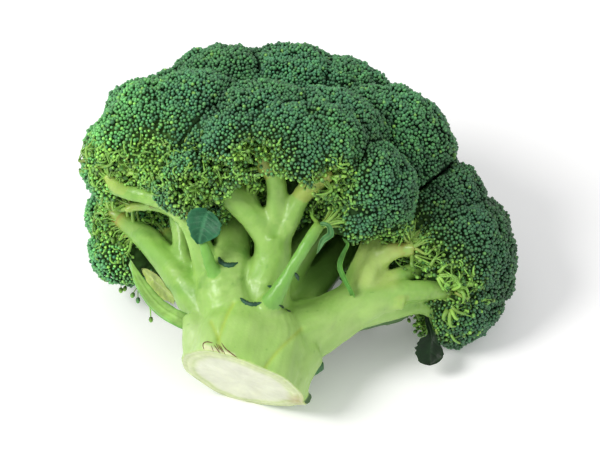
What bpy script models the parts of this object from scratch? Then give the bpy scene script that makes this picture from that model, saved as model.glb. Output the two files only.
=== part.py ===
"""Broccoli head, as picked and cut, lying on its side.

One branched stalk of pale flesh carries domed florets of flower buds, and a
few small leaves grow from the stalk.  The head is laid out in its own face
frame, in millimetres: x across the head, y from the cut up to the crown, and
z out of the head's upper side, with the middle of the cut at 0, 0, 0.  A
single rotation then lays it on the surface, which is z = 0 in world axes,
with the cut towards -Y.
"""
import math

import bmesh
import bpy
import numpy as np
from mathutils import Matrix, Vector

# ---------------------------------------------------------------- dimensions
MM = 0.001
LIE_ANGLE = math.radians(42.0)        # how far the face frame leans back when the head lies down
CUT_RADIUS = 24.0                     # radius of the round cut at the foot of the stalk
CUT_NORMAL = (-0.30, -0.875, 0.378)   # outward direction of the cut
GAP = 0.3                             # clearance between neighbouring solids
FLORET_GAP = 1.5                      # clearance between two florets pressed together
FLORET_DETAIL = 4                     # icosphere level of the florets
FLORET_SHARE = 0.42                   # share of its triangles each floret keeps
STALK_VOXEL = 1.3                     # cell that welds the branches into one body
STALK_TRIANGLES = 3400
LEAF_THICKNESS = 0.9

COLLECTION = "broccoli_head"
CUTTERS = "cutters"

# Branches: lists of (x, y, z, radius).  Each starts inside the one it grows from.
BRANCHES = {
    "trunk": [(-7, -16, 7, 24.2), (-3, -5, 2, 24.2), (0, 6, -3, 23.8), (2.5, 16, -7, 22.6), (4, 25, -10, 18.5)],
    "right_root": [(2, -10, 3, 18), (10, 4, -3, 16.2), (21, 15, -9, 12.2)],
    "cut_nub": [(19, -3, -1, 4.0), (23.5, -6, 0.5, 2.9)],
    "petiole_stub": [(-10, 38.5, 0, 3.2), (-12.6, 44, 4.2, 2.4), (-14.2, 49.2, 7.6, 2.1), (-15.6, 53.6, 9.45, 1.7)],
    "rear_nub": [(20, 2, -14, 4.0), (26.5, 3.6, -19, 2.8), (29.6, 5.0, -22, 2.5)],
    "centre": [(5, 22, -9, 14), (8, 36, -6, 9.6), (10.6, 47, -3.5, 7.4), (11.2, 56, -2, 6.8)],
    "centre_left": [(10, 53, -2, 5.6), (4, 62, -1, 5.0), (-4, 70, 0, 4.8), (-11, 76, 1.5, 4.0), (-15, 80, 1, 3.0)],
    "centre_left_b": [(6, 59, -2, 4.6), (1, 68, -3, 4.8), (-1, 78, -5, 4.2)],
    "centre_mid": [(11.6, 55, -2, 4.8), (12.4, 65, 0, 4.0), (12.2, 76, 2, 3.9), (9, 84, 2.5, 3.4), (5.5, 90, 1.5, 2.6)],
    "centre_right": [(12.4, 53, -2, 4.8), (17.5, 61, 0, 3.8), (21, 69, 1.5, 3.6), (26, 75, 2, 3.4), (36, 77, 1.5, 2.6)],
    "left_base": [(-14.5, 3, 4, 6.0), (-17, 11, 3, 6.3), (-18.4, 18.5, 1, 5.5), (-20.5, 24.5, -2, 4.0)],
    "side_stem": [(8, 25, 3, 6.0), (11.5, 32, 8.0, 3.7), (17, 41, 9.5, 2.5), (23, 51, 9, 2.2), (29, 60, 7, 2.0)],
    "left_centre": [(-3, 20, -6, 15), (-8, 34, -4, 10.3), (-5.5, 46, -8, 7.8), (-4, 58, -17, 6.8), (-3, 70, -26, 6.0), (-6, 84, -34, 4.6)],
    "left": [(-8, 18, -8, 13), (-16, 28, -9, 9.2), (-24, 38, -12, 6.8), (-32, 47, -19, 5.6), (-40, 55, -27, 4.8), (-50, 62, -36, 3.4)],
    "left_fork": [(-18, 34, -12, 6.0), (-23.5, 46, -14, 4.2), (-25, 57, -16, 3.6), (-28, 69, -20, 3.4), (-31, 80, -22, 3.0)],
    "left_upper": [(-11, 34, -8, 7.0), (-15.5, 47, -6, 5.0), (-21, 60, -5, 3.8), (-29.3, 67.4, -5.5, 3.3), (-37, 70.6, -7, 3.1), (-45, 72.5, -9, 3.0), (-51.5, 75, -11, 2.9), (-57, 80.5, -14, 2.3)],
    "left_small": [(-27, 65, -8, 2.6), (-35, 67, -11, 2.0), (-44.5, 66.8, -15, 1.6)],
    "left_inner": [(-23, 42, -16, 4.0), (-28, 52, -26, 3.2), (-33, 59, -33, 2.6)],
    "right": [(10, 14, -8, 17), (22, 18.5, -10, 13), (32, 22.5, -12, 10.2), (43, 29, -15, 9.2)],
    "right_1": [(42, 28, -15, 8.2), (47.5, 41, -18, 6.8), (51.5, 51, -21, 6.5), (54, 63, -28, 6.0), (57, 76, -36, 4.6)],
    "right_1b": [(50, 44, -18, 4.5), (56, 49, -15, 3.8), (62, 50, -15, 2.8)],
    "right_2": [(44, 30, -15, 7.0), (57, 38, -18, 4.0), (67, 42.5, -22, 3.2), (75, 47, -30, 3.0)],
    "right_3": [(44, 28, -13, 7.5), (58, 32.5, -14, 4.8), (70, 34, -17, 3.9), (83, 33, -25, 3.2)],
    "right_4": [(44, 26, -15, 7.0), (58, 27, -18, 4.2), (68, 28, -22, 3.3), (76, 24.5, -28, 3.0), (81, 21, -34, 2.8)],
    "right_5": [(30, 20, -16, 7.0), (46, 22.5, -27, 4.4), (60, 25, -34, 3.8), (73, 33, -41, 3.2)],
    "back_left": [(-4, 22, -12, 12), (-12, 38, -26, 7.6), (-19, 52, -42, 6.0), (-24, 62, -55, 4.4)],
    "back": [(4, 22, -13, 13), (8, 42, -31, 8.0), (12, 56, -45, 6.4), (15, 66, -57, 4.6)],
    "back_right": [(12, 20, -13, 12), (27, 37, -28, 7.6), (39, 50, -42, 6.0), (47, 60, -52, 4.4)],
    "top": [(7, 30, -12, 11), (11, 50, -24, 8.0), (15, 69, -36, 6.8), (20, 86, -47, 5.0)],
    "top_right": [(11, 34, -14, 8), (24, 52, -23, 5.6), (37, 66, -30, 5.2), (47, 80, -38, 4.2)],
}

# Florets: the point the shape spreads from, the balls that make its domes
# (x, y, z, radius), and the balls scooped out of its underside.
FLORETS = {
    "floret_front": {
        "centre": (13, 94, -14),
        "balls": [(8, 86, -13, 30.5), (30, 87, -15, 27), (-8, 88, -14, 23), (16, 84, -1, 25), (28, 87, -3, 22), (1, 86, -3, 22)],
        "scoops": [(12, 56, 6, 23, 27, 30)]},
    "floret_front_left": {
        "centre": (-21, 76, -1),
        "balls": [(-19.5, 76.5, 0, 14), (-25, 75, -3, 11), (-13, 77, 3, 10.5)],
        "scoops": [(-8, 57, -5, 10, 9.5, 12)]},
    "floret_front_right": {
        "centre": (48, 74, -10),
        "balls": [(43, 77, -8, 20), (49, 73, -11, 18.5), (43, 67, -7, 14.5), (53, 64, -16, 14)],
        "scoops": [(46, 45, -18, 12, 13, 15)]},
    "floret_left": {
        "centre": (-36, 95, -26),
        "balls": [(-33, 92, -26, 26), (-43, 88, -20, 19.5), (-20, 96, -22, 25), (-51, 82, -18, 13), (-30, 84, -10, 15), (-38, 99, -32, 20), (-54, 92, -26, 10)],
        "scoops": [(-38, 61, -2, 20, 13, 20), (-24, 60, -18, 15, 14, 18)]},
    "floret_lower_left": {
        "centre": (-47, 56, -54),
        "balls": [(-43, 55, -56, 20), (-51, 63, -48, 14), (-49, 50, -46, 14), (-38, 46, -54, 13)],
        "scoops": [(-30, 66, -28, 16, 16, 16)]},
    "floret_left_inner": {
        "centre": (-34, 63, -37),
        "balls": [(-33, 63, -36, 9), (-40, 62, -36, 7)],
        "scoops": []},
    "floret_top_left": {
        "centre": (-14, 102, -54),
        "balls": [(-9, 104, -51, 28.5), (-26, 100, -48, 23.5), (-14, 92, -66, 25), (4, 112, -56, 20)],
        "scoops": [(-6, 66, -34, 22, 18, 22)]},
    "floret_top": {
        "centre": (24, 100, -58),
        "balls": [(16, 102, -56, 31.5), (36, 99, -56, 29), (26, 90, -70, 28), (49, 103, -58, 17)],
        "scoops": [(14, 62, -34, 26, 20, 24)]},
    "floret_right_upper": {
        "centre": (57, 86, -44),
        "balls": [(54, 86, -42, 30.3), (60, 91, -46, 23), (66, 77, -46, 21), (58, 76, -60, 25), (48, 96, -34, 20)],
        "scoops": [(44, 52, -30, 22, 18, 20)]},
    "floret_right": {
        "centre": (84, 50, -46),
        "balls": [(77, 48, -41, 30), (86, 43, -42, 22.5), (72, 62, -42, 26.5), (81, 34.5, -40, 23), (62, 52, -34, 17), (88, 56, -46, 18)],
        "scoops": [(48, 32, -12, 25, 25, 26), (58, 21, -34, 18, 14, 26)]},
    "floret_back_left": {
        "centre": (-24, 72, -68),
        "balls": [(-22, 69, -67, 28.3), (-31, 78, -62, 23)],
        "scoops": [(-8, 44, -40, 20, 20, 22)]},
    "floret_back": {
        "centre": (16, 75, -70),
        "balls": [(15, 73, -68, 31.6), (8, 80, -72, 26), (28, 78, -70, 26)],
        "scoops": [(12, 40, -38, 26, 24, 24)]},
    "floret_back_right": {
        "centre": (52, 66, -61),
        "balls": [(50, 66, -60, 30.6), (63, 61, -59, 23)],
        "scoops": [(38, 41, -30, 20, 18, 18)]},
}

# Leaves: middle line (x, y, z), half widths along it, and the direction its face looks.
LEAVES = {
    "leaf_hanging": {"line": [(-13.5, 65.2, 10.5), (-14.6, 62, 12), (-16, 57.5, 12), (-17, 52.4, 11)],
                     "width": [3.0, 6.7, 6.4, 2.0], "face": (-0.1, 0.15, 1.0), "cup": 1.0},
    "leaf_left_bract": {"line": [(-16, 20.6, -3), (-24.5, 23.2, 0), (-33.2, 28.4, -3.5), (-40, 36.5, -8), (-44.8, 45.4, -13)],
                        "width": [3.0, 3.3, 3.1, 2.4, 0.6], "face": (0.35, 0.35, 0.85), "cup": 0.7},
    "leaf_left_small": {"line": [(-27, 31, -10), (-32, 34.5, -17), (-36.5, 38, -24), (-41, 42, -30)],
                        "width": [2.8, 4.6, 4.4, 2.0], "face": (-0.2, -0.5, 0.85), "cup": 0.8},
    "leaf_curled": {"line": [(42.3, 30.8, -7.8), (41.4, 33.8, -4.8), (38.8, 38.6, -3.6), (37.3, 43.8, -4), (38.2, 48.4, -5), (39.6, 51.6, -6)],
                    "width": [0.9, 0.9, 1.3, 1.2, 1.2, 0.9], "face": (-0.6, 0.1, 0.8), "cup": 0.5},
    "leaf_side_tip": {"line": [(29, 60.3, 7.6), (32.2, 59.4, 9.4), (33, 56.2, 11), (30, 53.6, 12), (27.9, 48.8, 13)],
                      "width": [0.9, 1.1, 1.3, 1.1, 0.5], "face": (0.3, 0.3, 0.9), "cup": 0.3},
    "leaf_dark_right": {"line": [(71.0, 26.2, -24.4), (71.8, 21.4, -26.0), (73.2, 16.4, -25.4), (72.8, 13.0, -24.5), (72.4, 8.8, -24), (72.6, 4.4, -23.5)],
                        "width": [0.8, 0.9, 1.6, 4.4, 5.2, 3.4], "face": (0.0, 0.1, 1.0), "cup": 0.9},
}

COLOURS = {
    "flesh": ((0.40, 0.62, 0.15, 1.0), 0.42),
    "buds": ((0.045, 0.13, 0.05, 1.0), 0.55),
    "leaf": ((0.07, 0.22, 0.11, 1.0), 0.5),
}


# ------------------------------------------------------------------- helpers
def lie_matrix():
    """Face frame, in millimetres, to world axes, in metres, before it is set down."""
    s, c = math.sin(LIE_ANGLE), math.cos(LIE_ANGLE)
    turn = Matrix(((1, 0, 0, 0), (0, s, -c, 0), (0, c, s, 0), (0, 0, 0, 1)))
    return turn @ Matrix.Scale(MM, 4)


def unit(v):
    v = np.asarray(v, float)
    return v / np.linalg.norm(v)


def smooth_path(points, step):
    """Catmull-Rom path through the points, with the radius carried along."""
    p = np.asarray(points, float)
    ends = np.vstack([2 * p[0] - p[1], p, 2 * p[-1] - p[-2]])
    out = []
    for i in range(1, len(ends) - 2):
        a, b, c, d = ends[i - 1:i + 3]
        n = max(2, int(math.ceil(np.linalg.norm((c - b)[:3]) / step)))
        for k in range(n):
            t = k / n
            out.append(0.5 * ((2 * b) + (c - a) * t + (2 * a - 5 * b + 4 * c - d) * t ** 2
                              + (3 * b - a - 3 * c + d) * t ** 3))
    out.append(p[-1])
    return np.array(out)


def material(name):
    found = bpy.data.materials.get(name)
    if found:
        return found
    colour, rough = COLOURS[name.split(".")[0]]
    made = bpy.data.materials.new(name)
    made.use_nodes = True
    shader = made.node_tree.nodes["Principled BSDF"]
    shader.inputs["Base Color"].default_value = colour
    shader.inputs["Roughness"].default_value = rough
    shader.inputs["Metallic"].default_value = 0.0
    made.diffuse_color = colour
    return made


def put(name, mesh, collection, colour=None):
    obj = bpy.data.objects.new(name, mesh)
    collection.objects.link(obj)
    if colour:
        mesh.materials.clear()
        mesh.materials.append(material(colour))
    return obj


def evaluated_copy(obj):
    bpy.context.view_layer.update()
    graph = bpy.context.evaluated_depsgraph_get()
    mesh = bpy.data.meshes.new_from_object(obj.evaluated_get(graph))
    return mesh


def largest_body(mesh, tiny=1e-7):
    """Keep only the largest connected body of a mesh, and weld its seams."""
    bm = bmesh.new()
    bm.from_mesh(mesh)
    bmesh.ops.remove_doubles(bm, verts=bm.verts, dist=tiny)
    bm.verts.ensure_lookup_table()
    seen, best = set(), []
    for v in bm.verts:
        if v in seen:
            continue
        seen.add(v)
        group, stack = [v], [v]
        while stack:
            w = stack.pop()
            for e in w.link_edges:
                o = e.other_vert(w)
                if o not in seen:
                    seen.add(o)
                    group.append(o)
                    stack.append(o)
        if len(group) > len(best):
            best = group
    keep = set(best)
    bmesh.ops.delete(bm, geom=[v for v in bm.verts if v not in keep], context='VERTS')
    bmesh.ops.triangulate(bm, faces=bm.faces)
    bm.to_mesh(mesh)
    bm.free()
    mesh.update()


# --------------------------------------------------------------------- stalk
def branch_tube(name, points, collection):
    curve = bpy.data.curves.new(name, 'CURVE')
    curve.dimensions = '3D'
    curve.bevel_depth = 1.0
    curve.bevel_resolution = 4
    curve.use_fill_caps = True
    path = smooth_path(points, 3.0)
    spline = curve.splines.new('POLY')
    spline.points.add(len(path) - 1)
    for point, (x, y, z, r) in zip(spline.points, path):
        point.co = (x, y, z, 1.0)
        point.radius = r
    obj = bpy.data.objects.new(name, curve)
    collection.objects.link(obj)
    return obj


def make_stalk(collection, cutters):
    """The branches as tapered tubes, welded into one body and cut flat at the foot."""
    bm = bmesh.new()
    for name, points in BRANCHES.items():
        tube = branch_tube("tube_" + name, points, cutters)
        mesh = evaluated_copy(tube)
        part = bmesh.new()
        part.from_mesh(mesh)
        bmesh.ops.remove_doubles(part, verts=part.verts, dist=1e-4)
        bmesh.ops.recalc_face_normals(part, faces=part.faces)
        part.to_mesh(mesh)
        part.free()
        bm.from_mesh(mesh)
        bpy.data.objects.remove(tube)
        bpy.data.meshes.remove(mesh)
    joined = bpy.data.meshes.new("stalk_joined")
    bm.to_mesh(joined)
    bm.free()
    work = put("stalk_work", joined, cutters)
    weld = work.modifiers.new("weld_branches", 'REMESH')
    weld.mode = 'VOXEL'
    weld.voxel_size = STALK_VOXEL
    soften = work.modifiers.new("soften", 'SMOOTH')
    soften.factor = 0.5
    soften.iterations = 6
    mesh = evaluated_copy(work)
    bpy.data.objects.remove(work)
    largest_body(mesh)
    ratio = STALK_TRIANGLES / len(mesh.polygons)
    work = put("stalk_fine", mesh, cutters)
    thin = work.modifiers.new("thin_out", 'DECIMATE')
    thin.ratio = ratio
    mesh = evaluated_copy(work)
    bpy.data.objects.remove(work)
    bm = bmesh.new()
    bm.from_mesh(mesh)
    bmesh.ops.bisect_plane(bm, geom=bm.verts[:] + bm.edges[:] + bm.faces[:], dist=1e-4,
                           plane_co=(0, 0, 0), plane_no=unit(CUT_NORMAL), clear_outer=True)
    rim = [e for e in bm.edges if e.is_boundary]
    bmesh.ops.edgenet_fill(bm, edges=rim)
    bmesh.ops.triangulate(bm, faces=bm.faces)
    bmesh.ops.recalc_face_normals(bm, faces=bm.faces)
    bm.to_mesh(mesh)
    bm.free()
    largest_body(mesh, 1e-4)
    return put("stalk", mesh, collection, "flesh")


# ------------------------------------------------------------------- florets
def ray_ball_exit(origin, rays, ball):
    centre, radius = np.array(ball[:3]), ball[3]
    off = origin - centre
    b = rays @ off
    c = off @ off - radius * radius
    disc = b * b - c
    hit = disc > 0
    out = np.where(hit, -b + np.sqrt(np.where(hit, disc, 0)), -1.0)
    return out


def ray_scoop_entry(origin, rays, scoop):
    centre, half = np.array(scoop[:3]), np.array(scoop[3:6])
    o, d = (origin - centre) / half, rays / half
    a = (d * d).sum(1)
    b = d @ o
    c = o @ o - 1.0
    disc = b * b - a * c
    hit = disc > 0
    near = np.where(hit, (-b - np.sqrt(np.where(hit, disc, 0))) / a, np.inf)
    return np.where(near > 0, near, np.inf)


def power(points, balls):
    """Least power distance of each point to a set of balls, and which ball gives it."""
    centre, radius = balls[:, :3], balls[:, 3]
    d = ((points[..., None, :] - centre) ** 2).sum(-1) - radius ** 2
    return d.min(-1), d.argmin(-1)


def own_share(name, points):
    """True where a point lies nearer to this floret's balls than to any other floret's."""
    own = np.array(FLORETS[name]["balls"], float)
    rest = np.array([b for n, f in FLORETS.items() if n != name for b in f["balls"]], float)
    mine, which = power(points, own)
    other, rival = power(points, rest)
    apart = np.linalg.norm(own[which, :3] - rest[rival, :3], axis=-1)
    return mine + FLORET_GAP * apart < other


def floret_radii(name, rays, floor):
    """How far the floret reaches from its centre along each ray."""
    spec = FLORETS[name]
    origin = np.array(spec["centre"], float)
    r = np.zeros(len(rays))
    for ball in spec["balls"]:
        r = np.maximum(r, ray_ball_exit(origin, rays, ball))
    for scoop in spec["scoops"]:
        r = np.minimum(r, ray_scoop_entry(origin, rays, scoop))
    point, normal = floor
    along = rays @ normal
    r = np.minimum(r, np.where(along > 1e-6, ((point - origin) @ normal) / np.maximum(along, 1e-6), np.inf))
    # stop each ray where it would leave this floret's share of the crown
    steps = np.linspace(0.0, 1.0, 81)[1:]
    far = r.copy()
    near = np.zeros(len(rays))
    open_ray = np.ones(len(rays), bool)
    for lo, hi in zip(np.concatenate([[0.0], steps[:-1]]), steps):
        inside = own_share(name, origin + rays * (r * hi)[:, None])
        leaving = open_ray & ~inside
        near[leaving] = (r * lo)[leaving]
        far[leaving] = (r * hi)[leaving]
        open_ray &= inside
    cut = ~open_ray
    for _ in range(12):
        middle = (near + far) / 2
        inside = own_share(name, origin + rays * middle[:, None])
        near = np.where(cut & inside, middle, near)
        far = np.where(cut & ~inside, middle, far)
    return origin, np.where(cut, near, r)


def make_floret(name, floor, collection):
    mesh = bpy.data.meshes.new(name)
    bm = bmesh.new()
    bmesh.ops.create_icosphere(bm, subdivisions=FLORET_DETAIL, radius=1.0)
    rays = np.array([v.co[:] for v in bm.verts], float)
    rays /= np.linalg.norm(rays, axis=1)[:, None]
    origin, radii = floret_radii(name, rays, floor)
    if radii.min() < 1.0:
        print("thin", name, radii.min())
    for v, ray, r in zip(bm.verts, rays, radii):
        v.co = Vector(origin + ray * max(r, 1.0))
    bm.to_mesh(mesh)
    bm.free()
    obj = put(name, mesh, collection, "buds")
    thin = obj.modifiers.new("thin_out", 'DECIMATE')
    thin.ratio = FLORET_SHARE
    return obj


# -------------------------------------------------------------------- leaves
def make_leaf(name, spec, collection):
    line = smooth_path([tuple(p) + (w,) for p, w in zip(spec["line"], spec["width"])], 3.2)
    face = unit(spec["face"])
    rows, cols = len(line), 4
    mesh = bpy.data.meshes.new(name)
    bm = bmesh.new()
    bmesh.ops.create_grid(bm, x_segments=rows - 1, y_segments=cols - 1, size=1.0)
    for v in bm.verts:
        i = int(round((v.co.x + 1) / 2 * (rows - 1)))
        s = v.co.y
        ahead = line[min(i + 1, rows - 1), :3] - line[max(i - 1, 0), :3]
        along = unit(ahead)
        side = unit(np.cross(face, along))
        up = np.cross(along, side)
        w = line[i, 3]
        v.co = Vector(line[i, :3] + side * s * w + up * spec["cup"] * (s * s - 0.4))
    bmesh.ops.recalc_face_normals(bm, faces=bm.faces)
    bm.to_mesh(mesh)
    bm.free()
    obj = put(name, mesh, collection, "leaf")
    thick = obj.modifiers.new("thickness", 'SOLIDIFY')
    thick.thickness = LEAF_THICKNESS
    thick.offset = 0.0
    return obj


def cut_by(obj, cutter, name, collection, colour):
    cut = obj.modifiers.new("socket", 'BOOLEAN')
    cut.operation = 'DIFFERENCE'
    cut.solver = 'MANIFOLD' if colour == "leaf" else 'EXACT'
    cut.object = cutter
    mesh = evaluated_copy(obj)
    bpy.data.objects.remove(obj)
    largest_body(mesh, 1e-4)
    return put(name, mesh, collection, colour)


# ---------------------------------------------------------------------- main
def main():
    for obj in list(bpy.data.objects):
        bpy.data.objects.remove(obj)
    head = bpy.data.collections.new(COLLECTION)
    cutters = bpy.data.collections.new(CUTTERS)
    bpy.context.scene.collection.children.link(head)
    bpy.context.scene.collection.children.link(cutters)

    stalk = make_stalk(head, cutters)

    # the branch ends' sockets in the florets, a clearance wider than the stalk
    socket = put("stalk_socket", stalk.data.copy(), cutters)
    grow = socket.modifiers.new("clearance", 'DISPLACE')
    grow.mid_level = 0.0
    grow.strength = GAP + 0.15
    socket.hide_render = True
    socket.display_type = 'WIRE'

    # the surface the head lies on, under the lowest edge of the cut
    down = -np.array((0.0, math.cos(LIE_ANGLE), math.sin(LIE_ANGLE)))
    lowest = max(np.array(v.co[:]) @ down for v in stalk.data.vertices)
    floor = (down * lowest, down)

    made = [stalk]
    for name in FLORETS:
        solid = make_floret(name, floor, head)
        solid = cut_by(solid, socket, name, head, "buds")
        for v in solid.data.vertices:
            under = np.array(v.co[:]) @ down - lowest
            if under > 0:
                v.co = Vector(np.array(v.co[:]) - down * under)
        made.append(solid)
    for name, spec in LEAVES.items():
        solid = make_leaf(name, spec, head)
        made.append(cut_by(solid, socket, name, head, "leaf"))

    # lay the head down: centre it over the origin, on z = 0
    lie = lie_matrix()
    for obj in made:
        obj.data.transform(lie)
    low, high = np.full(3, 1e9), np.full(3, -1e9)
    for obj in made:
        pts = np.array([v.co[:] for v in obj.data.vertices])
        low, high = np.minimum(low, pts.min(0)), np.maximum(high, pts.max(0))
    shift = Matrix.Translation((-(low[0] + high[0]) / 2, -(low[1] + high[1]) / 2, -low[2]))
    for obj in made:
        obj.data.transform(shift)
        for v in obj.data.vertices:
            if abs(v.co.z) < 2e-5:
                v.co.z = 0.0
        obj.data.shade_smooth()
        obj.data.set_sharp_from_angle(angle=math.radians(40))
    socket.data.transform(shift @ lie)
    socket.modifiers["clearance"].strength *= MM


main()
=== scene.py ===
"""Looks for the broccoli head: fine stalk flesh, thousands of flower buds, pedicels and leaves.

Everything is laid out in the head's own face frame, in millimetres (x across, y from the
cut up to the crown, z out of the upper side), and then laid down on the surface in metres,
exactly as the CAD model is.
"""
import math

import bmesh
import bpy
import numpy as np
from mathutils import Matrix, Vector
from mathutils.bvhtree import BVHTree
from mathutils.kdtree import KDTree

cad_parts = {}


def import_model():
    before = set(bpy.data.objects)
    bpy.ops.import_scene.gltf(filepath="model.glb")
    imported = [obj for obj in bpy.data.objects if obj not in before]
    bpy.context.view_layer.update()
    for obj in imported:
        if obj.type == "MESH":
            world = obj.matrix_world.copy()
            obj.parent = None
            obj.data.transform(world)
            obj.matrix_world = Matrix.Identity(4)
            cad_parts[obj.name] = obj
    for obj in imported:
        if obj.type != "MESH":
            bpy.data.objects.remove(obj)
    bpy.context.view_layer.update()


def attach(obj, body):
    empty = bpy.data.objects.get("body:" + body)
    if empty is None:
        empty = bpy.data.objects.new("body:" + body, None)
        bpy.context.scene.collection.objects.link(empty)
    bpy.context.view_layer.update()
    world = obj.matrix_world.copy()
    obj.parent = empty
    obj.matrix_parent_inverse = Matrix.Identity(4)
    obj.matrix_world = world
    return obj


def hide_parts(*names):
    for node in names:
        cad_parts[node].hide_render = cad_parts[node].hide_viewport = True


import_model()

# ------------------------------------------------------------------ the frame
LIE = math.radians(42.0)
SN, CS = math.sin(LIE), math.cos(LIE)
TURN = np.array([[1, 0, 0], [0, SN, -CS], [0, CS, SN]])
SHIFT = np.array([-0.0216690, -0.0649894, 0.0214371])
CUT_NORMAL = np.array([-0.30, -0.875, 0.378]) / np.linalg.norm([-0.30, -0.875, 0.378])
UP = np.array([0.0, CS, SN])          # away from the surface, in the face frame
HUB = np.array([9.0, 38.0, -18.0])    # where the branches fan out from


def world(p):
    return np.asarray(p, float) * 0.001 @ TURN.T + SHIFT


def turned(v):
    return np.asarray(v, float) @ TURN.T


BRANCHES = {
    "trunk": [(-7, -16, 7, 24.2), (-3, -5, 2, 24.2), (0, 6, -3, 23.8), (2.5, 16, -7, 22.6), (4, 25, -10, 18.5)],
    "right_root": [(2, -10, 3, 18), (10, 4, -3, 16.2), (21, 15, -9, 12.2)],
    "cut_nub": [(19, -3, -1, 4.0), (23.5, -6, 0.5, 2.9)],
    "petiole_stub": [(-10, 38.5, 0, 3.2), (-12.6, 44, 4.2, 2.4), (-14.2, 49.2, 7.6, 2.1), (-15.6, 53.6, 9.45, 1.7)],
    "rear_nub": [(20, 2, -14, 4.0), (26.5, 3.6, -19, 2.8), (29.6, 5.0, -22, 2.5)],
    "centre": [(5, 22, -9, 14), (8, 36, -6, 9.6), (10.6, 47, -3.5, 7.4), (11.2, 56, -2, 6.8)],
    "centre_left": [(10, 53, -2, 5.6), (4, 62, -1, 5.0), (-4, 70, 0, 4.8), (-11, 76, 1.5, 4.0), (-15, 80, 1, 3.0)],
    "centre_left_b": [(6, 59, -2, 4.6), (1, 68, -3, 4.8), (-1, 78, -5, 4.2)],
    "centre_mid": [(11.6, 55, -2, 4.8), (12.4, 65, 0, 4.0), (12.2, 76, 2, 3.9), (9, 84, 2.5, 3.4), (5.5, 90, 1.5, 2.6)],
    "centre_right": [(12.4, 53, -2, 4.8), (17.5, 61, 0, 3.8), (21, 69, 1.5, 3.6), (26, 75, 2, 3.4), (36, 77, 1.5, 2.6)],
    "left_base": [(-14.5, 3, 4, 6.0), (-17, 11, 3, 6.3), (-18.4, 18.5, 1, 5.5), (-20.5, 24.5, -2, 4.0)],
    "side_stem": [(8, 25, 3, 6.0), (11.5, 32, 8.0, 3.7), (17, 41, 9.5, 2.5), (23, 51, 9, 2.2), (29, 60, 7, 2.0)],
    "left_centre": [(-3, 20, -6, 15), (-8, 34, -4, 10.3), (-5.5, 46, -8, 7.8), (-4, 58, -17, 6.8), (-3, 70, -26, 6.0), (-6, 84, -34, 4.6)],
    "left": [(-8, 18, -8, 13), (-16, 28, -9, 9.2), (-24, 38, -12, 6.8), (-32, 47, -19, 5.6), (-40, 55, -27, 4.8), (-50, 62, -36, 3.4)],
    "left_fork": [(-18, 34, -12, 6.0), (-23.5, 46, -14, 4.2), (-25, 57, -16, 3.6), (-28, 69, -20, 3.4), (-31, 80, -22, 3.0)],
    "left_upper": [(-11, 34, -8, 7.0), (-15.5, 47, -6, 5.0), (-21, 60, -5, 3.8), (-29.3, 67.4, -5.5, 3.3), (-37, 70.6, -7, 3.1), (-45, 72.5, -9, 3.0), (-51.5, 75, -11, 2.9), (-57, 80.5, -14, 2.3)],
    "left_small": [(-27, 65, -8, 2.6), (-35, 67, -11, 2.0), (-44.5, 66.8, -15, 1.6)],
    "left_inner": [(-23, 42, -16, 4.0), (-28, 52, -26, 3.2), (-33, 59, -33, 2.6)],
    "right": [(10, 14, -8, 17), (22, 18.5, -10, 13), (32, 22.5, -12, 10.2), (43, 29, -15, 9.2)],
    "right_1": [(42, 28, -15, 8.2), (47.5, 41, -18, 6.8), (51.5, 51, -21, 6.5), (54, 63, -28, 6.0), (57, 76, -36, 4.6)],
    "right_1b": [(50, 44, -18, 4.5), (56, 49, -15, 3.8), (62, 50, -15, 2.8)],
    "right_2": [(44, 30, -15, 7.0), (57, 38, -18, 4.0), (67, 42.5, -22, 3.2), (75, 47, -30, 3.0)],
    "right_3": [(44, 28, -13, 7.5), (58, 32.5, -14, 4.8), (70, 34, -17, 3.9), (83, 33, -25, 3.2)],
    "right_4": [(44, 26, -15, 7.0), (58, 27, -18, 4.2), (68, 28, -22, 3.3), (76, 24.5, -28, 3.0), (81, 21, -34, 2.8)],
    "right_5": [(30, 20, -16, 7.0), (46, 22.5, -27, 4.4), (60, 25, -34, 3.8), (73, 33, -41, 3.2)],
    "back_left": [(-4, 22, -12, 12), (-12, 38, -26, 7.6), (-19, 52, -42, 6.0), (-24, 62, -55, 4.4)],
    "back": [(4, 22, -13, 13), (8, 42, -31, 8.0), (12, 56, -45, 6.4), (15, 66, -57, 4.6)],
    "back_right": [(12, 20, -13, 12), (27, 37, -28, 7.6), (39, 50, -42, 6.0), (47, 60, -52, 4.4)],
    "top": [(7, 30, -12, 11), (11, 50, -24, 8.0), (15, 69, -36, 6.8), (20, 86, -47, 5.0)],
    "top_right": [(11, 34, -14, 8), (24, 52, -23, 5.6), (37, 66, -30, 5.2), (47, 80, -38, 4.2)],
}

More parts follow.
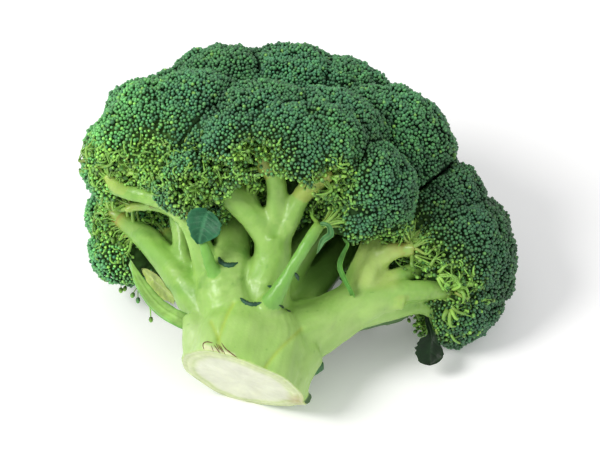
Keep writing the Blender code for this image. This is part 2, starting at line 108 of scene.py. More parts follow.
FLORETS = {
    "floret_front": {
        "centre": (13, 94, -14),
        "balls": [(8, 86, -13, 30.5), (30, 87, -15, 27), (-8, 88, -14, 23), (16, 84, -1, 25), (28, 87, -3, 22), (1, 86, -3, 22)],
        "scoops": [(12, 56, 6, 23, 27, 30)]},
    "floret_front_left": {
        "centre": (-21, 76, -1),
        "balls": [(-19.5, 76.5, 0, 14), (-25, 75, -3, 11), (-13, 77, 3, 10.5)],
        "scoops": [(-8, 57, -5, 10, 9.5, 12)]},
    "floret_front_right": {
        "centre": (48, 74, -10),
        "balls": [(43, 77, -8, 20), (49, 73, -11, 18.5), (43, 67, -7, 14.5), (53, 64, -16, 14)],
        "scoops": [(46, 45, -18, 12, 13, 15)]},
    "floret_left": {
        "centre": (-36, 95, -26),
        "balls": [(-33, 92, -26, 26), (-43, 88, -20, 19.5), (-20, 96, -22, 25), (-51, 82, -18, 13), (-30, 84, -10, 15), (-38, 99, -32, 20), (-54, 92, -26, 10)],
        "scoops": [(-38, 61, -2, 20, 13, 20), (-24, 60, -18, 15, 14, 18)]},
    "floret_lower_left": {
        "centre": (-47, 56, -54),
        "balls": [(-43, 55, -56, 20), (-51, 63, -48, 14), (-49, 50, -46, 14), (-38, 46, -54, 13)],
        "scoops": [(-30, 66, -28, 16, 16, 16)]},
    "floret_left_inner": {
        "centre": (-34, 63, -37),
        "balls": [(-33, 63, -36, 9), (-40, 62, -36, 7)],
        "scoops": []},
    "floret_top_left": {
        "centre": (-14, 102, -54),
        "balls": [(-9, 104, -51, 28.5), (-26, 100, -48, 23.5), (-14, 92, -66, 25), (4, 112, -56, 20)],
        "scoops": [(-6, 66, -34, 22, 18, 22)]},
    "floret_top": {
        "centre": (24, 100, -58),
        "balls": [(16, 102, -56, 31.5), (36, 99, -56, 29), (26, 90, -70, 28), (49, 103, -58, 17)],
        "scoops": [(14, 62, -34, 26, 20, 24)]},
    "floret_right_upper": {
        "centre": (57, 86, -44),
        "balls": [(54, 86, -42, 30.3), (60, 91, -46, 23), (66, 77, -46, 21), (58, 76, -60, 25), (48, 96, -34, 20)],
        "scoops": [(44, 52, -30, 22, 18, 20)]},
    "floret_right": {
        "centre": (84, 50, -46),
        "balls": [(77, 48, -41, 30), (86, 43, -42, 22.5), (72, 62, -42, 26.5), (81, 34.5, -40, 23), (62, 52, -34, 17), (88, 56, -46, 18)],
        "scoops": [(48, 32, -12, 25, 25, 26), (58, 21, -34, 18, 14, 26)]},
    "floret_back_left": {
        "centre": (-24, 72, -68),
        "balls": [(-22, 69, -67, 28.3), (-31, 78, -62, 23)],
        "scoops": [(-8, 44, -40, 20, 20, 22)]},
    "floret_back": {
        "centre": (16, 75, -70),
        "balls": [(15, 73, -68, 31.6), (8, 80, -72, 26), (28, 78, -70, 26)],
        "scoops": [(12, 40, -38, 26, 24, 24)]},
    "floret_back_right": {
        "centre": (52, 66, -61),
        "balls": [(50, 66, -60, 30.6), (63, 61, -59, 23)],
        "scoops": [(38, 41, -30, 20, 18, 18)]},
}

LEAVES = {
    "leaf_hanging": {"line": [(-13.5, 65.2, 10.5), (-14.6, 62, 12), (-16, 57.5, 12), (-17, 52.4, 11)],
                     "width": [3.0, 6.7, 6.4, 2.0], "face": (-0.1, 0.15, 1.0), "cup": 1.0},
    "leaf_left_bract": {"line": [(-16, 20.6, -3), (-24.5, 23.2, 0), (-33.2, 28.4, -3.5), (-40, 36.5, -8), (-44.8, 45.4, -13)],
                        "width": [3.0, 3.3, 3.1, 2.4, 0.6], "face": (0.35, 0.35, 0.85), "cup": 0.7},
    "leaf_left_small": {"line": [(-27, 31, -10), (-32, 34.5, -17), (-36.5, 38, -24), (-41, 42, -30)],
                        "width": [2.8, 4.6, 4.4, 2.0], "face": (-0.2, -0.5, 0.85), "cup": 0.8},
    "leaf_curled": {"line": [(42.3, 30.8, -7.8), (41.4, 33.8, -4.8), (38.8, 38.6, -3.6), (37.3, 43.8, -4), (38.2, 48.4, -5), (39.6, 51.6, -6)],
                    "width": [0.9, 0.9, 1.3, 1.2, 1.2, 0.9], "face": (-0.6, 0.1, 0.8), "cup": 0.5},
    "leaf_side_tip": {"line": [(29, 60.3, 7.6), (32.2, 59.4, 9.4), (33, 56.2, 11), (30, 53.6, 12), (27.9, 48.8, 13)],
                      "width": [0.9, 1.1, 1.3, 1.1, 0.5], "face": (0.3, 0.3, 0.9), "cup": 0.3},
    "leaf_dark_right": {"line": [(71.0, 26.2, -24.4), (71.8, 21.4, -26.0), (73.2, 16.4, -25.4), (72.8, 13.0, -24.5), (72.4, 8.8, -24), (72.6, 4.4, -23.5)],
                        "width": [0.8, 0.9, 1.6, 4.4, 5.2, 3.4], "face": (0.0, 0.1, 1.0), "cup": 0.9},
}

NAMES = list(FLORETS)
BALLS = np.array([b for f in FLORETS.values() for b in f["balls"]], float)
OWNER = np.array([i for i, f in enumerate(FLORETS.values()) for _ in f["balls"]])


# where the crown is open round a branch end, so that its flower stalks show
OPEN_AT = {
    "floret_front": [(6, 85, 13, 11, 8, 12), (33, 75, 10, 10, 8, 11), (-9, 80, 10, 9, 6, 8)],
    "floret_front_left": [(-20, 71, 13, 10, 8, 9)],
    "floret_front_right": [(33, 72, 9, 6, 8, 9), (57, 52, -7, 10, 5, 8)],
    "floret_left": [(-50, 80, -4, 11, 6, 6), (-37, 86, 4, 6, 7.5, 4.5)],
    "floret_lower_left": [(-49, 60, -33, 9, 9, 7)],
    "floret_right": [(80, 35, -13, 11, 9, 7), (73, 48, -15, 9, 6, 6)],
}
for _k, _v in OPEN_AT.items():
    FLORETS[_k]["scoops"] = list(FLORETS[_k]["scoops"]) + _v


# -------------------------------------------------------------------- helpers
def unit(v):
    v = np.asarray(v, float)
    return v / np.maximum(np.linalg.norm(v, axis=-1, keepdims=True), 1e-12)


def smooth01(x):
    x = np.clip(x, 0.0, 1.0)
    return x * x * (3 - 2 * x)


def lattice(i, seed):
    h = (i[..., 0] * 374761393 + i[..., 1] * 668265263 + i[..., 2] * 2147483647 + seed * 974634777).astype(np.int64)
    h = (h ^ (h >> 13)) * 1274126177
    h = h ^ (h >> 16)
    return (h & 0xFFFFF) / float(0xFFFFF) * 2 - 1


def noise(p, scale, seed=0):
    """Smooth lattice noise between -1 and 1; scale is the size of its lumps in millimetres."""
    q = np.asarray(p, float) / scale + 137.3
    i = np.floor(q).astype(np.int64)
    f = q - i
    f = f * f * (3 - 2 * f)
    out = 0.0
    for dx in (0, 1):
        for dy in (0, 1):
            for dz in (0, 1):
                w = ((f[..., 0] if dx else 1 - f[..., 0]) * (f[..., 1] if dy else 1 - f[..., 1])
                     * (f[..., 2] if dz else 1 - f[..., 2]))
                out = out + w * lattice(i + np.array([dx, dy, dz]), seed)
    return out


def path_through(points, step):
    """Catmull-Rom path; any extra columns are carried along."""
    p = np.asarray(points, float)
    ends = np.vstack([2 * p[0] - p[1], p, 2 * p[-1] - p[-2]])
    out = []
    for i in range(1, len(ends) - 2):
        a, b, c, d = ends[i - 1:i + 3]
        n = max(2, int(math.ceil(np.linalg.norm((c - b)[:3]) / step)))
        t = (np.arange(n) / n)[:, None]
        out.append(0.5 * ((2 * b) + (c - a) * t + (2 * a - 5 * b + 4 * c - d) * t ** 2 + (3 * b - a - 3 * c + d) * t ** 3))
    out.append(p[-1:])
    return np.vstack(out)


def make_mesh(name, verts, faces, paint=None, uv=None, extra=None, smooth=True):
    """One mesh from vertices in world metres and a list of face arrays, each (n, corners)."""
    mesh = bpy.data.meshes.new(name)
    faces = [np.asarray(f, np.int64) for f in faces if len(f)]
    loops = np.concatenate([f.ravel() for f in faces])
    sizes = np.concatenate([np.full(len(f), f.shape[1]) for f in faces])
    starts = np.concatenate([[0], np.cumsum(sizes)[:-1]])
    mesh.vertices.add(len(verts))
    mesh.vertices.foreach_set("co", np.asarray(verts, np.float32).ravel())
    mesh.loops.add(len(loops))
    mesh.loops.foreach_set("vertex_index", loops.astype(np.int32))
    mesh.polygons.add(len(sizes))
    mesh.polygons.foreach_set("loop_start", starts.astype(np.int32))
    mesh.update(calc_edges=True)
    if smooth:
        mesh.polygons.foreach_set("use_smooth", np.ones(len(sizes), bool))
    if paint is not None:
        att = mesh.color_attributes.new(name="paint", type='FLOAT_COLOR', domain='POINT')
        rgba = np.ones((len(verts), 4), np.float32)
        rgba[:, :3] = np.clip(paint, 0, 1)
        att.data.foreach_set("color", rgba.ravel())
    for key, values in (extra or {}).items():
        att = mesh.attributes.new(name=key, type='FLOAT', domain='POINT')
        att.data.foreach_set("value", np.asarray(values, np.float32))
    if uv is not None:
        layer = mesh.uv_layers.new(name="OFBake")
        layer.data.foreach_set("uv", np.asarray(uv, np.float32)[loops].ravel())
    mesh.validate()
    obj = bpy.data.objects.new(name, mesh)
    bpy.context.scene.collection.objects.link(obj)
    return obj


def evaluated(obj):
    bpy.context.view_layer.update()
    graph = bpy.context.evaluated_depsgraph_get()
    return bpy.data.meshes.new_from_object(obj.evaluated_get(graph))


def arrays(mesh):
    v = np.empty(len(mesh.vertices) * 3, np.float32)
    mesh.vertices.foreach_get("co", v)
    return v.reshape(-1, 3).astype(float)


# ----------------------------------------------------------------- materials
def principled(name):
    mat = bpy.data.materials.new(name)
    mat.use_nodes = True
    nt = mat.node_tree
    return mat, nt, nt.nodes["Principled BSDF"]


def link(nt, a, b):
    nt.links.new(a, b)


def paint_nodes(nt, bsdf, scale, amount, rough, rough_amount, bump_scale, bump, stretch=(1, 1, 1), detail=4.0):
    """Base colour from the painted attribute, broken up by noise, with bump and roughness noise."""
    att = nt.nodes.new("ShaderNodeAttribute")
    att.attribute_name = "paint"
    coord = nt.nodes.new("ShaderNodeTexCoord")
    mapping = nt.nodes.new("ShaderNodeMapping")
    mapping.inputs["Scale"].default_value = stretch
    link(nt, coord.outputs["Object"], mapping.inputs["Vector"])
    grain = nt.nodes.new("ShaderNodeTexNoise")
    grain.inputs["Scale"].default_value = scale
    grain.inputs["Detail"].default_value = detail
    grain.inputs["Roughness"].default_value = 0.6
    link(nt, mapping.outputs["Vector"], grain.inputs["Vector"])
    ramp = nt.nodes.new("ShaderNodeMapRange")
    ramp.inputs["From Min"].default_value = 0.3
    ramp.inputs["From Max"].default_value = 0.7
    ramp.inputs["To Min"].default_value = 1.0 - amount
    ramp.inputs["To Max"].default_value = 1.0 + amount
    link(nt, grain.outputs["Fac"], ramp.inputs["Value"])
    mul = nt.nodes.new("ShaderNodeVectorMath")
    mul.operation = 'SCALE'
    link(nt, att.outputs["Color"], mul.inputs[0])
    link(nt, ramp.outputs["Result"], mul.inputs["Scale"])
    link(nt, mul.outputs["Vector"], bsdf.inputs["Base Color"])
    fine = nt.nodes.new("ShaderNodeTexNoise")
    fine.inputs["Scale"].default_value = bump_scale
    fine.inputs["Detail"].default_value = 3.0
    link(nt, mapping.outputs["Vector"], fine.inputs["Vector"])
    rr = nt.nodes.new("ShaderNodeMapRange")
    rr.inputs["From Min"].default_value = 0.3
    rr.inputs["From Max"].default_value = 0.7
    rr.inputs["To Min"].default_value = rough - rough_amount
    rr.inputs["To Max"].default_value = rough + rough_amount
    link(nt, fine.outputs["Fac"], rr.inputs["Value"])
    link(nt, rr.outputs["Result"], bsdf.inputs["Roughness"])
    bmp = nt.nodes.new("ShaderNodeBump")
    bmp.inputs["Strength"].default_value = bump
    bmp.inputs["Distance"].default_value = 0.0003
    link(nt, fine.outputs["Fac"], bmp.inputs["Height"])
    link(nt, bmp.outputs["Normal"], bsdf.inputs["Normal"])
    return att, mul


def stalk_material():
    mat, nt, b = principled("stalk_flesh")
    paint_nodes(nt, b, 90.0, 0.10, 0.36, 0.07, 900.0, 0.25)
    b.inputs["Subsurface Weight"].default_value = 0.22
    b.inputs["Subsurface Radius"].default_value = (0.8, 1.0, 0.35)
    b.inputs["Subsurface Scale"].default_value = 0.0022
    b.inputs["Specular IOR Level"].default_value = 0.45
    return mat


def bud_material():
    mat, nt, b = principled("flower_buds")
    paint_nodes(nt, b, 260.0, 0.16, 0.46, 0.08, 2600.0, 0.35)
    b.inputs["Specular IOR Level"].default_value = 0.5
    b.inputs["Sheen Weight"].default_value = 0.08
    b.inputs["Sheen Roughness"].default_value = 0.5
    return mat


def pedicel_material():
    mat, nt, b = principled("pedicels")
    paint_nodes(nt, b, 300.0, 0.14, 0.42, 0.06, 2000.0, 0.2)
    b.inputs["Subsurface Weight"].default_value = 0.15
    b.inputs["Subsurface Radius"].default_value = (0.8, 1.0, 0.3)
    b.inputs["Subsurface Scale"].default_value = 0.0012
    return mat


def leaf_material():
    mat, nt, b = principled("leaf_surface")
    paint_nodes(nt, b, 420.0, 0.16, 0.48, 0.08, 1500.0, 0.4)
    b.inputs["Specular IOR Level"].default_value = 0.25
    return mat


def core_material():
    mat, nt, b = principled("floret_core")
    paint_nodes(nt, b, 400.0, 0.3, 0.85, 0.06, 1500.0, 0.4)
    b.inputs["Specular IOR Level"].default_value = 0.12
    return mat


def scar_material():
    mat, nt, b = principled("leaf_scars")
    paint_nodes(nt, b, 700.0, 0.3, 0.5, 0.1, 2500.0, 0.5)
    return mat


MAT_CORE = core_material()
MAT_SCAR = scar_material()
MAT_STALK = stalk_material()
MAT_BUD = bud_material()
MAT_PED = pedicel_material()
MAT_LEAF = leaf_material()


def finish_piece(obj, mat, nodes):
    obj.data.materials.clear()
    obj.data.materials.append(mat)
    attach(obj, "root")
    if nodes:
        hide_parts(*nodes)
    return obj


# --------------------------------------------------------------------- tubes
def tube_batch(P, R, sides, taper_end=True):
    """Many tubes at once: P (m, k, 3), R (m, k). Closed with a point at each end."""
    m, k, _ = P.shape
    T = unit(np.gradient(P, axis=1))
    ref = np.where(np.abs(T[:, :1, 2:3]) > 0.85, np.array([1.0, 0.0, 0.0]), np.array([0.0, 0.0, 1.0]))
    side = unit(np.cross(T[:, 0], ref[:, 0]))
    sides_list = []
    for j in range(k):
        side = unit(side - (side * T[:, j]).sum(-1, keepdims=True) * T[:, j])
        sides_list.append(side)
    A = np.stack(sides_list, 1)
    B = np.cross(T, A)
    ang = np.arange(sides) / sides * 2 * np.pi
    ring = (A[:, :, None, :] * np.cos(ang)[None, None, :, None] + B[:, :, None, :] * np.sin(ang)[None, None, :, None])
    V = P[:, :, None, :] + ring * R[:, :, None, None]
    V = V.reshape(m, k * sides, 3)
    ends = np.stack([P[:, 0] - T[:, 0] * R[:, :1] * 0.6, P[:, -1] + T[:, -1] * R[:, -1:] * 0.6], 1)
    V = np.concatenate([V, ends], 1)
    j, i = np.meshgrid(np.arange(k - 1), np.arange(sides), indexing='ij')
    a = j * sides + i
    b = j * sides + (i + 1) % sides
    quad = np.stack([a, b, b + sides, a + sides], -1).reshape(-1, 4)
    i = np.arange(sides)
    t0 = np.stack([np.full(sides, k * sides), (i + 1) % sides, i], -1)
    base = (k - 1) * sides
    t1 = np.stack([np.full(sides, k * sides + 1), base + i, base + (i + 1) % sides], -1)
    n = k * sides + 2
    off = (np.arange(m) * n)[:, None, None]
    quads = (quad[None] + off).reshape(-1, 4)
    tris = (np.concatenate([t0, t1])[None] + off).reshape(-1, 3)
    along = np.concatenate([np.repeat(np.linspace(0, 1, k), sides), [0.0, 1.0]])
    around = np.concatenate([np.tile(ang, k), [0.0, 0.0]])
    return V.reshape(-1, 3), quads, tris, n, along, around


def grid_cells(m, u, v, margin=0.12):
    """UVs that give each of m copies its own square of the map; u and v run 0 to 1 in the square."""
    side = max(1, int(math.ceil(math.sqrt(m))))
    i = np.arange(m)
    cx, cy = (i % side)[:, None], (i // side)[:, None]
    uu = (cx + margin + (1 - 2 * margin) * u[None]) / side
    vv = (cy + margin + (1 - 2 * margin) * v[None]) / side
    return np.stack([uu, vv], -1).reshape(-1, 2)


# --------------------------------------------------------------------- stalk
def branch_rings(points, seed, sides=40, step=1.6):
    """A branch as rings round its middle line, with faint ridges along it."""
    line = path_through(points, step)
    P, R = line[:, :3], line[:, 3]
    T = unit(np.gradient(P, axis=0))
    side = unit(np.cross(T[0], [0.3, 0.2, 0.93]))
    rng = np.random.RandomState(seed)
    ph = rng.uniform(0, 6.28, 4)
    rows = []
    ang = np.arange(sides) / sides * 2 * np.pi
    s = np.concatenate([[0], np.cumsum(np.linalg.norm(np.diff(P, axis=0), axis=1))])
    for i in range(len(P)):
        side = unit(side - (side @ T[i]) * T[i])
        other = np.cross(T[i], side)
        wob = (0.035 * np.cos(3 * ang + ph[0] + s[i] * 0.02) + 0.022 * np.cos(5 * ang + ph[1] - s[i] * 0.03)
               + 0.012 * np.cos(9 * ang + ph[2] + s[i] * 0.05))
        r = R[i] * (1 + wob) + 0.12
        rows.append(P[i] + (np.cos(ang) * r)[:, None] * side + (np.sin(ang) * r)[:, None] * other)
    return np.array(rows), P, R, T


def add_closed_rings(store, rows):
    k, n, _ = rows.shape
    base = store["n"]
    store["v"].append(rows.reshape(-1, 3))
    store["v"].append(rows[0].mean(0, keepdims=True))
    store["v"].append(rows[-1].mean(0, keepdims=True))
    j, i = np.meshgrid(np.arange(k - 1), np.arange(n), indexing='ij')
    a, b = j * n + i, j * n + (i + 1) % n
    store["q"].append(np.stack([a, b, b + n, a + n], -1).reshape(-1, 4) + base)
    i = np.arange(n)
    store["t"].append(np.stack([np.full(n, k * n), (i + 1) % n, i], -1) + base)
    last = (k - 1) * n
    store["t"].append(np.stack([np.full(n, k * n + 1), last + i, last + (i + 1) % n], -1) + base)
    store["n"] += k * n + 2


FINE_BRANCHES = {
    "stub_a": [(52, 27.5, -14, 3.0), (57, 30.5, -11.5, 2.3), (62.5, 31, -10.5, 1.6)],
    "stub_b": [(55, 28, -13, 2.4), (59, 28.6, -11.5, 2.0), (62, 27.6, -11, 1.4)],
    "tip_a": [(-20, 60, -4, 2.6), (-21, 69, 0, 2.3), (-22.5, 78, 3.5, 2.4)],
    "tip_b": [(9, 80, 3.5, 3.2), (7, 85, 7, 2.7), (5, 89.5, 10, 1.9)],
    "tip_d": [(22, 71, 2, 3.6), (26, 75, 7, 3.7), (30, 77.5, 11, 3.0), (33.5, 78.5, 13, 1.9)],
    "tip_e": [(-45, 72.5, -9, 2.8), (-50, 75.5, -8, 2.6), (-54, 79.0, -7, 1.5)],
    "tip_f": [(-28, 68, -12, 2.6), (-33, 75, -9, 2.2), (-37, 81, -6, 1.9)],
    "hook": [(19, -7, -5, 2.6), (22.6, -8.2, -4, 1.9), (24.8, -7.0, -3.4, 1.5), (25.1, -4.9, -3.2, 1.0)],
}


# the ends of these branches divide: how many stems, how far they spread, and how long they are
DIVIDE = {"left_upper": (5, 0.75, 7.5), "left": (5, 0.8, 7.5), "centre_mid": (5, 0.9, 6.5), "centre_left": (4, 0.8, 6.0),
          "centre_left_b": (4, 0.8, 6.0), "centre_right": (5, 0.9, 6.0), "right_1b": (5, 0.8, 6.0), "right_2": (4, 0.8, 6.5),
          "right_3": (5, 0.8, 6.5), "right_4": (4, 0.8, 6.0), "left_fork": (3, 0.7, 6.0), "left_small": (2, 0.5, 4.0)}


def divided_ends():
    r = np.random.RandomState(61)
    out = {}
    for name, (count, spread, length) in DIVIDE.items():
        pts = np.array(BRANCHES[name], float)
        p, d, rad = pts[-1, :3], unit(pts[-1, :3] - pts[-2, :3]), pts[-1, 3]
        ref = unit(np.cross(d, [0.3, 0.5, 0.8]))
        oth = np.cross(d, ref)
        for i in range(count):
            a = i * 6.2832 / count + r.uniform(-0.4, 0.4)
            side = ref * math.cos(a) + oth * math.sin(a)
            ln = length * r.uniform(0.75, 1.15)
            s0 = p - d * 3.0 + side * rad * 0.30
            s1 = p + d * ln * 0.35 + side * (rad * 0.45 + ln * 0.16)
            s2 = p + d * ln * 0.72 + side * (rad * 0.45 + ln * 0.55 * spread)
            out["%s_%d" % (name, i)] = [(*s0, rad * 0.62), (*s1, max(rad * 0.46, 1.3)), (*s2, max(rad * 0.34, 1.1))]
    return out


ENDS = divided_ends()
FINE_BRANCHES.update(ENDS)


def build_stalk():
    store = {"v": [], "q": [], "t": [], "n": 0}
    skeleton = []
    for k, (name, pts) in enumerate(list(BRANCHES.items()) + list(FINE_BRANCHES.items())):
        rows, P, R, T = branch_rings(pts, 11 + k)
        add_closed_rings(store, rows)
        s = np.concatenate([[0], np.cumsum(np.linalg.norm(np.diff(P, axis=0), axis=1))])
        for i in range(len(P)):
            skeleton.append((*P[i], R[i], *T[i], s[i], s[-1] - s[i], k))
    V = np.vstack(store["v"])
    tmp = make_mesh("stalk_tmp", V, [np.vstack(store["q"]), np.vstack(store["t"])], smooth=False)
    weld = tmp.modifiers.new("weld", 'REMESH')
    weld.mode = 'VOXEL'
    weld.voxel_size = 0.77
    soft = tmp.modifiers.new("soft", 'SMOOTH')
    soft.factor = 0.5
    soft.iterations = 12
    mesh = evaluated(tmp)
    bpy.data.objects.remove(tmp)
    bm = bmesh.new()
    bm.from_mesh(mesh)
    bmesh.ops.bisect_plane(bm, geom=bm.verts[:] + bm.edges[:] + bm.faces[:], dist=1e-4,
                           plane_co=(0, 0, 0), plane_no=Vector(CUT_NORMAL), clear_outer=True)
    # keep the largest body
    bm.verts.ensure_lookup_table()
    seen, best = set(), []
    for v in bm.verts:
        if v in seen:
            continue
        seen.add(v)
        group, stack = [v], [v]
        while stack:
            w = stack.pop()
            for e in w.link_edges:
                o = e.other_vert(w)
                if o not in seen:
                    seen.add(o)
                    group.append(o)
                    stack.append(o)
        if len(group) > len(best):
            best = group
    keep = set(best)
    bmesh.ops.delete(bm, geom=[v for v in bm.verts if v not in keep], context='VERTS')
    # the cut: rings inwards from the outline, so that the cut face has its own relief
    rim = [e for e in bm.edges if e.is_boundary]
    loop = [rim[0].verts[0], rim[0].verts[1]]
    used = {rim[0]}
    while True:
        nxt = [e for e in loop[-1].link_edges if e.is_boundary and e not in used]
        if not nxt:
            break
        used.add(nxt[0])
        o = nxt[0].other_vert(loop[-1])
        if o is loop[0]:
            break
        loop.append(o)
    ring0 = np.array([v.co[:] for v in loop])
    centre = ring0.mean(0)
    n = CUT_NORMAL
    if (np.cross(ring0[1] - centre, ring0[5] - centre) @ n) < 0:
        loop = loop[::-1]
        ring0 = ring0[::-1]
    bm.verts.index_update()
    fractions = [0.992, 0.975, 0.95, 0.92, 0.885, 0.85, 0.81, 0.76, 0.70, 0.62, 0.53, 0.43, 0.32, 0.2, 0.1]
    cut_rings = []
    for f in fractions:
        q = centre + (ring0 - centre) * f
        rise = 0.28 * smooth01((1 - f) / 0.03) - 0.35 * np.exp(-((f - 0.93) / 0.025) ** 2) + 0.3 * np.exp(-((f - 0.86) / 0.03) ** 2)
        rough = 0.22 * noise(q, 2.6, 5) + 0.35 * noise(q, 8.0, 6)
        q = q + n * (rise + rough * smooth01((1 - f) / 0.05))[:, None]
        cut_rings.append([bm.verts.new(p) for p in q])
    mid = bm.verts.new(centre + n * 0.3)
    rows = [loop] + cut_rings
    m = len(loop)
    for a, b in zip(rows[:-1], rows[1:]):
        for i in range(m):
            j = (i + 1) % m
            bm.faces.new((a[i], a[j], b[j], b[i]))
    for i in range(m):
        bm.faces.new((rows[-1][i], rows[-1][(i + 1) % m], mid))
    bmesh.ops.recalc_face_normals(bm, faces=bm.faces)
    bm.verts.index_update()
    nv = len(bm.verts)
    cut = np.full(nv, 2.0)          # 2 away from the cut, otherwise the fraction of its radius
    for f, ring in zip([1.0] + fractions, rows):
        for v in ring:
            cut[v.index] = f
    cut[mid.index] = 0.0
    rim_set = {v.index for v in loop}
    bm.normal_update()
    N = np.array([v.normal[:] for v in bm.verts])
    V = np.array([v.co[:] for v in bm.verts])
    quads = np.array([[v.index for v in f.verts] for f in bm.faces if len(f.verts) == 4])
    tris = np.array([[v.index for v in f.verts] for f in bm.faces if len(f.verts) == 3])
    other = [f for f in bm.faces if len(f.verts) > 4]
    extra_tris = []
    for f in other:
        idx = [v.index for v in f.verts]
        for a, b in zip(idx[1:-1], idx[2:]):
            extra_tris.append((idx[0], a, b))
    if extra_tris:
        tris = np.vstack([tris, np.array(extra_tris)]) if len(tris) else np.array(extra_tris)
    bm.free()
    skel = np.array(skeleton)
    # nearest branch of each vertex
    near = np.zeros(nv, int)
    for lo in range(0, nv, 4000):
        d = np.linalg.norm(V[lo:lo + 4000, None, :] - skel[None, :, :3], axis=-1) - skel[None, :, 3]
        near[lo:lo + 4000] = d.argmin(1)
    return dict(V=V, N=N, quads=quads, tris=tris, cut=cut, near=near, skel=skel, centre=centre, rim=rim_set)


def paint_stalk(st):
    V, N, near, skel, cut = st["V"], st["N"], st["near"], st["skel"], st["cut"]
    pale = np.array([0.42, 0.61, 0.19])
    green = np.array([0.22, 0.44, 0.065])
    deep = np.array([0.07, 0.21, 0.030])
    yellow = np.array([0.42, 0.43, 0.075])
    brown = np.array([0.27, 0.20, 0.045])
    T = skel[near, 4:7]
    # coordinates stretched along the branch, for streaks
    along = (V * T).sum(1, keepdims=True) * T
    q = V - along * 0.86
    streak = 0.5 * noise(q, 2.2, 21) + 0.35 * noise(q, 1.1, 22) + 0.25 * noise(V, 5.0, 23)
    blotch = noise(V, 14.0, 24) * 0.6 + noise(V, 6.0, 25) * 0.4
    t = np.clip(0.42 + 0.40 * blotch + 0.26 * streak, 0, 1)[:, None]
    c = green * (1 - t) + pale * t
    # paler low on the stalk, greener up the branches, and painted shade: a darker green towards the back
    low = smooth01((34 - V[:, 1]) / 34)[:, None]
    c = c * (1 - 0.34 * low) + (pale * 0.98) * 0.34 * low
    up = smooth01((V[:, 1] - 48) / 34)[:, None]
    c = c * (1 - 0.22 * up) + green * 0.22 * up
    # painted shade: darker green on the side turned away from the upper face
    back = smooth01((-6 - V[:, 2]) / 34)[:, None]
    c = c * (1 - 0.45 * back) + (green * 0.72) * 0.45 * back
    names = list(BRANCHES) + list(FINE_BRANCHES)
    # painted shade: the left branches are painted a darker green where they face away from the upper side
    shade_side = np.isin(skel[near, 9].astype(int), [names.index(n) for n in ("left", "left_fork", "left_upper", "left_centre")])
    w = (shade_side * smooth01((V[:, 1] - 24) / 14) * smooth01(0.55 + 0.9 * noise(q, 4.5, 27) - 0.9 * N[:, 2]) * 0.8)[:, None]
    c = c * (1 - w) + np.array([0.115, 0.30, 0.045]) * w
    w = (smooth01(0.35 + 1.1 * noise(q, 3.4, 28)) * smooth01((V[:, 1] - 22) / 20) * 0.34)[:, None]
    c = c * (1 - w) + np.array([0.17, 0.40, 0.055]) * w
    # painted shade: the branches deep inside the head, under the crown, are painted a dark green
    inner_branch_shade = np.isin(skel[near, 9].astype(int), [names.index(n) for n in ("back", "back_right", "back_left", "top", "top_right", "left_inner")])
    w = (inner_branch_shade * smooth01((-8 - V[:, 2]) / 14) * 0.8)[:, None]
    c = c * (1 - w) + np.array([0.085, 0.19, 0.032]) * w
    # branch ends: yellow, then brownish where the buds begin
    buried = [list(BRANCHES).index(n) for n in ("trunk", "right_root", "left_base", "centre", "right", "cut_nub", "rear_nub")]
    buried.append(list(BRANCHES).index("petiole_stub"))
    tip = np.where(np.isin(skel[near, 9].astype(int), buried), 99.0, skel[near, 8])
    soft_end = np.where(np.isin(skel[near, 9].astype(int), [names.index(n) for n in ("stub_a", "stub_b")]), 0.3, 1.0)[:, None]
    soft_end = np.where(np.isin(skel[near, 9].astype(int), [names.index(n) for n in ENDS])[:, None], 0.55, soft_end)
    k = smooth01((9.5 - tip) / 9.5)[:, None] * soft_end
    patch = smooth01(0.5 + 1.2 * noise(V, 3.2, 31))[:, None]
    c = c * (1 - 0.55 * k) + yellow * 0.55 * k
    kb = smooth01((4.5 - tip) / 4.5)[:, None] * patch * soft_end
    c = c * (1 - 0.75 * kb) + brown * 0.75 * kb
    # the broad branch under the right-hand edge is pale, and painted paler still as painted light against the crown's
    # shadow on it, with a ragged brown end
    w = (smooth01((V[:, 0] - 40) / 5) * smooth01((62 - V[:, 0]) / 5) * smooth01((V[:, 1] - 33) / 5) * smooth01((V[:, 2] + 24) / 5) * 0.75)[:, None]
    c = c * (1 - w) + np.array([0.50, 0.66, 0.18]) * w
    w = (smooth01((V[:, 0] - 52) / 6) * smooth01((V[:, 1] - 44) / 4) * smooth01(0.4 + 1.3 * noise(V, 3.0, 33)) * smooth01((V[:, 2] + 24) / 5) * smooth01((70 - V[:, 0]) / 5) * 0.6)[:, None]
    c = c * (1 - w) + np.array([0.34, 0.27, 0.07]) * w
    # the side stem is a brighter, cleaner green; right_5, low at the back, is painted a dark green as painted shade
    for nm, col, w in (("side_stem", (0.13, 0.38, 0.055), 0.65), ("petiole_stub", (0.13, 0.40, 0.045), 0.7),
                       ("right_5", (0.04, 0.13, 0.028), 0.85), ("rear_nub", (0.04, 0.15, 0.045), 0.9),
                       ("hook", (0.03, 0.11, 0.02), 0.9), ("tip_a", (0.36, 0.36, 0.07), 0.6),
                       ("tip_b", (0.38, 0.38, 0.075), 0.6), ("tip_d", (0.46, 0.50, 0.12), 0.6), ("tip_e", (0.34, 0.50, 0.10), 0.75),
                       ("left_small", (0.24, 0.42, 0.08), 0.5)):
        sel = (skel[near, 9] == names.index(nm))[:, None] * w
        c = c * (1 - sel) + np.array(col) * sel
    # the two nubs beside the cut are darker leaf stubs
    for pts, colr, back_by in ((BRANCHES["rear_nub"], (0.045, 0.17, 0.055), 0.25), (FINE_BRANCHES["hook"], (0.035, 0.10, 0.02), 0.3)):
        line = path_through(pts, 0.4)
        d = np.linalg.norm(V[:, None, :] - line[None, :, :3], axis=-1) - line[None, :, 3]
        j = d.argmin(1)
        w = (smooth01((0.9 - d[np.arange(len(V)), j]) / 0.8) * smooth01((j / len(line) - back_by) / 0.2))[:, None]
        c = c * (1 - w) + np.array(colr) * w
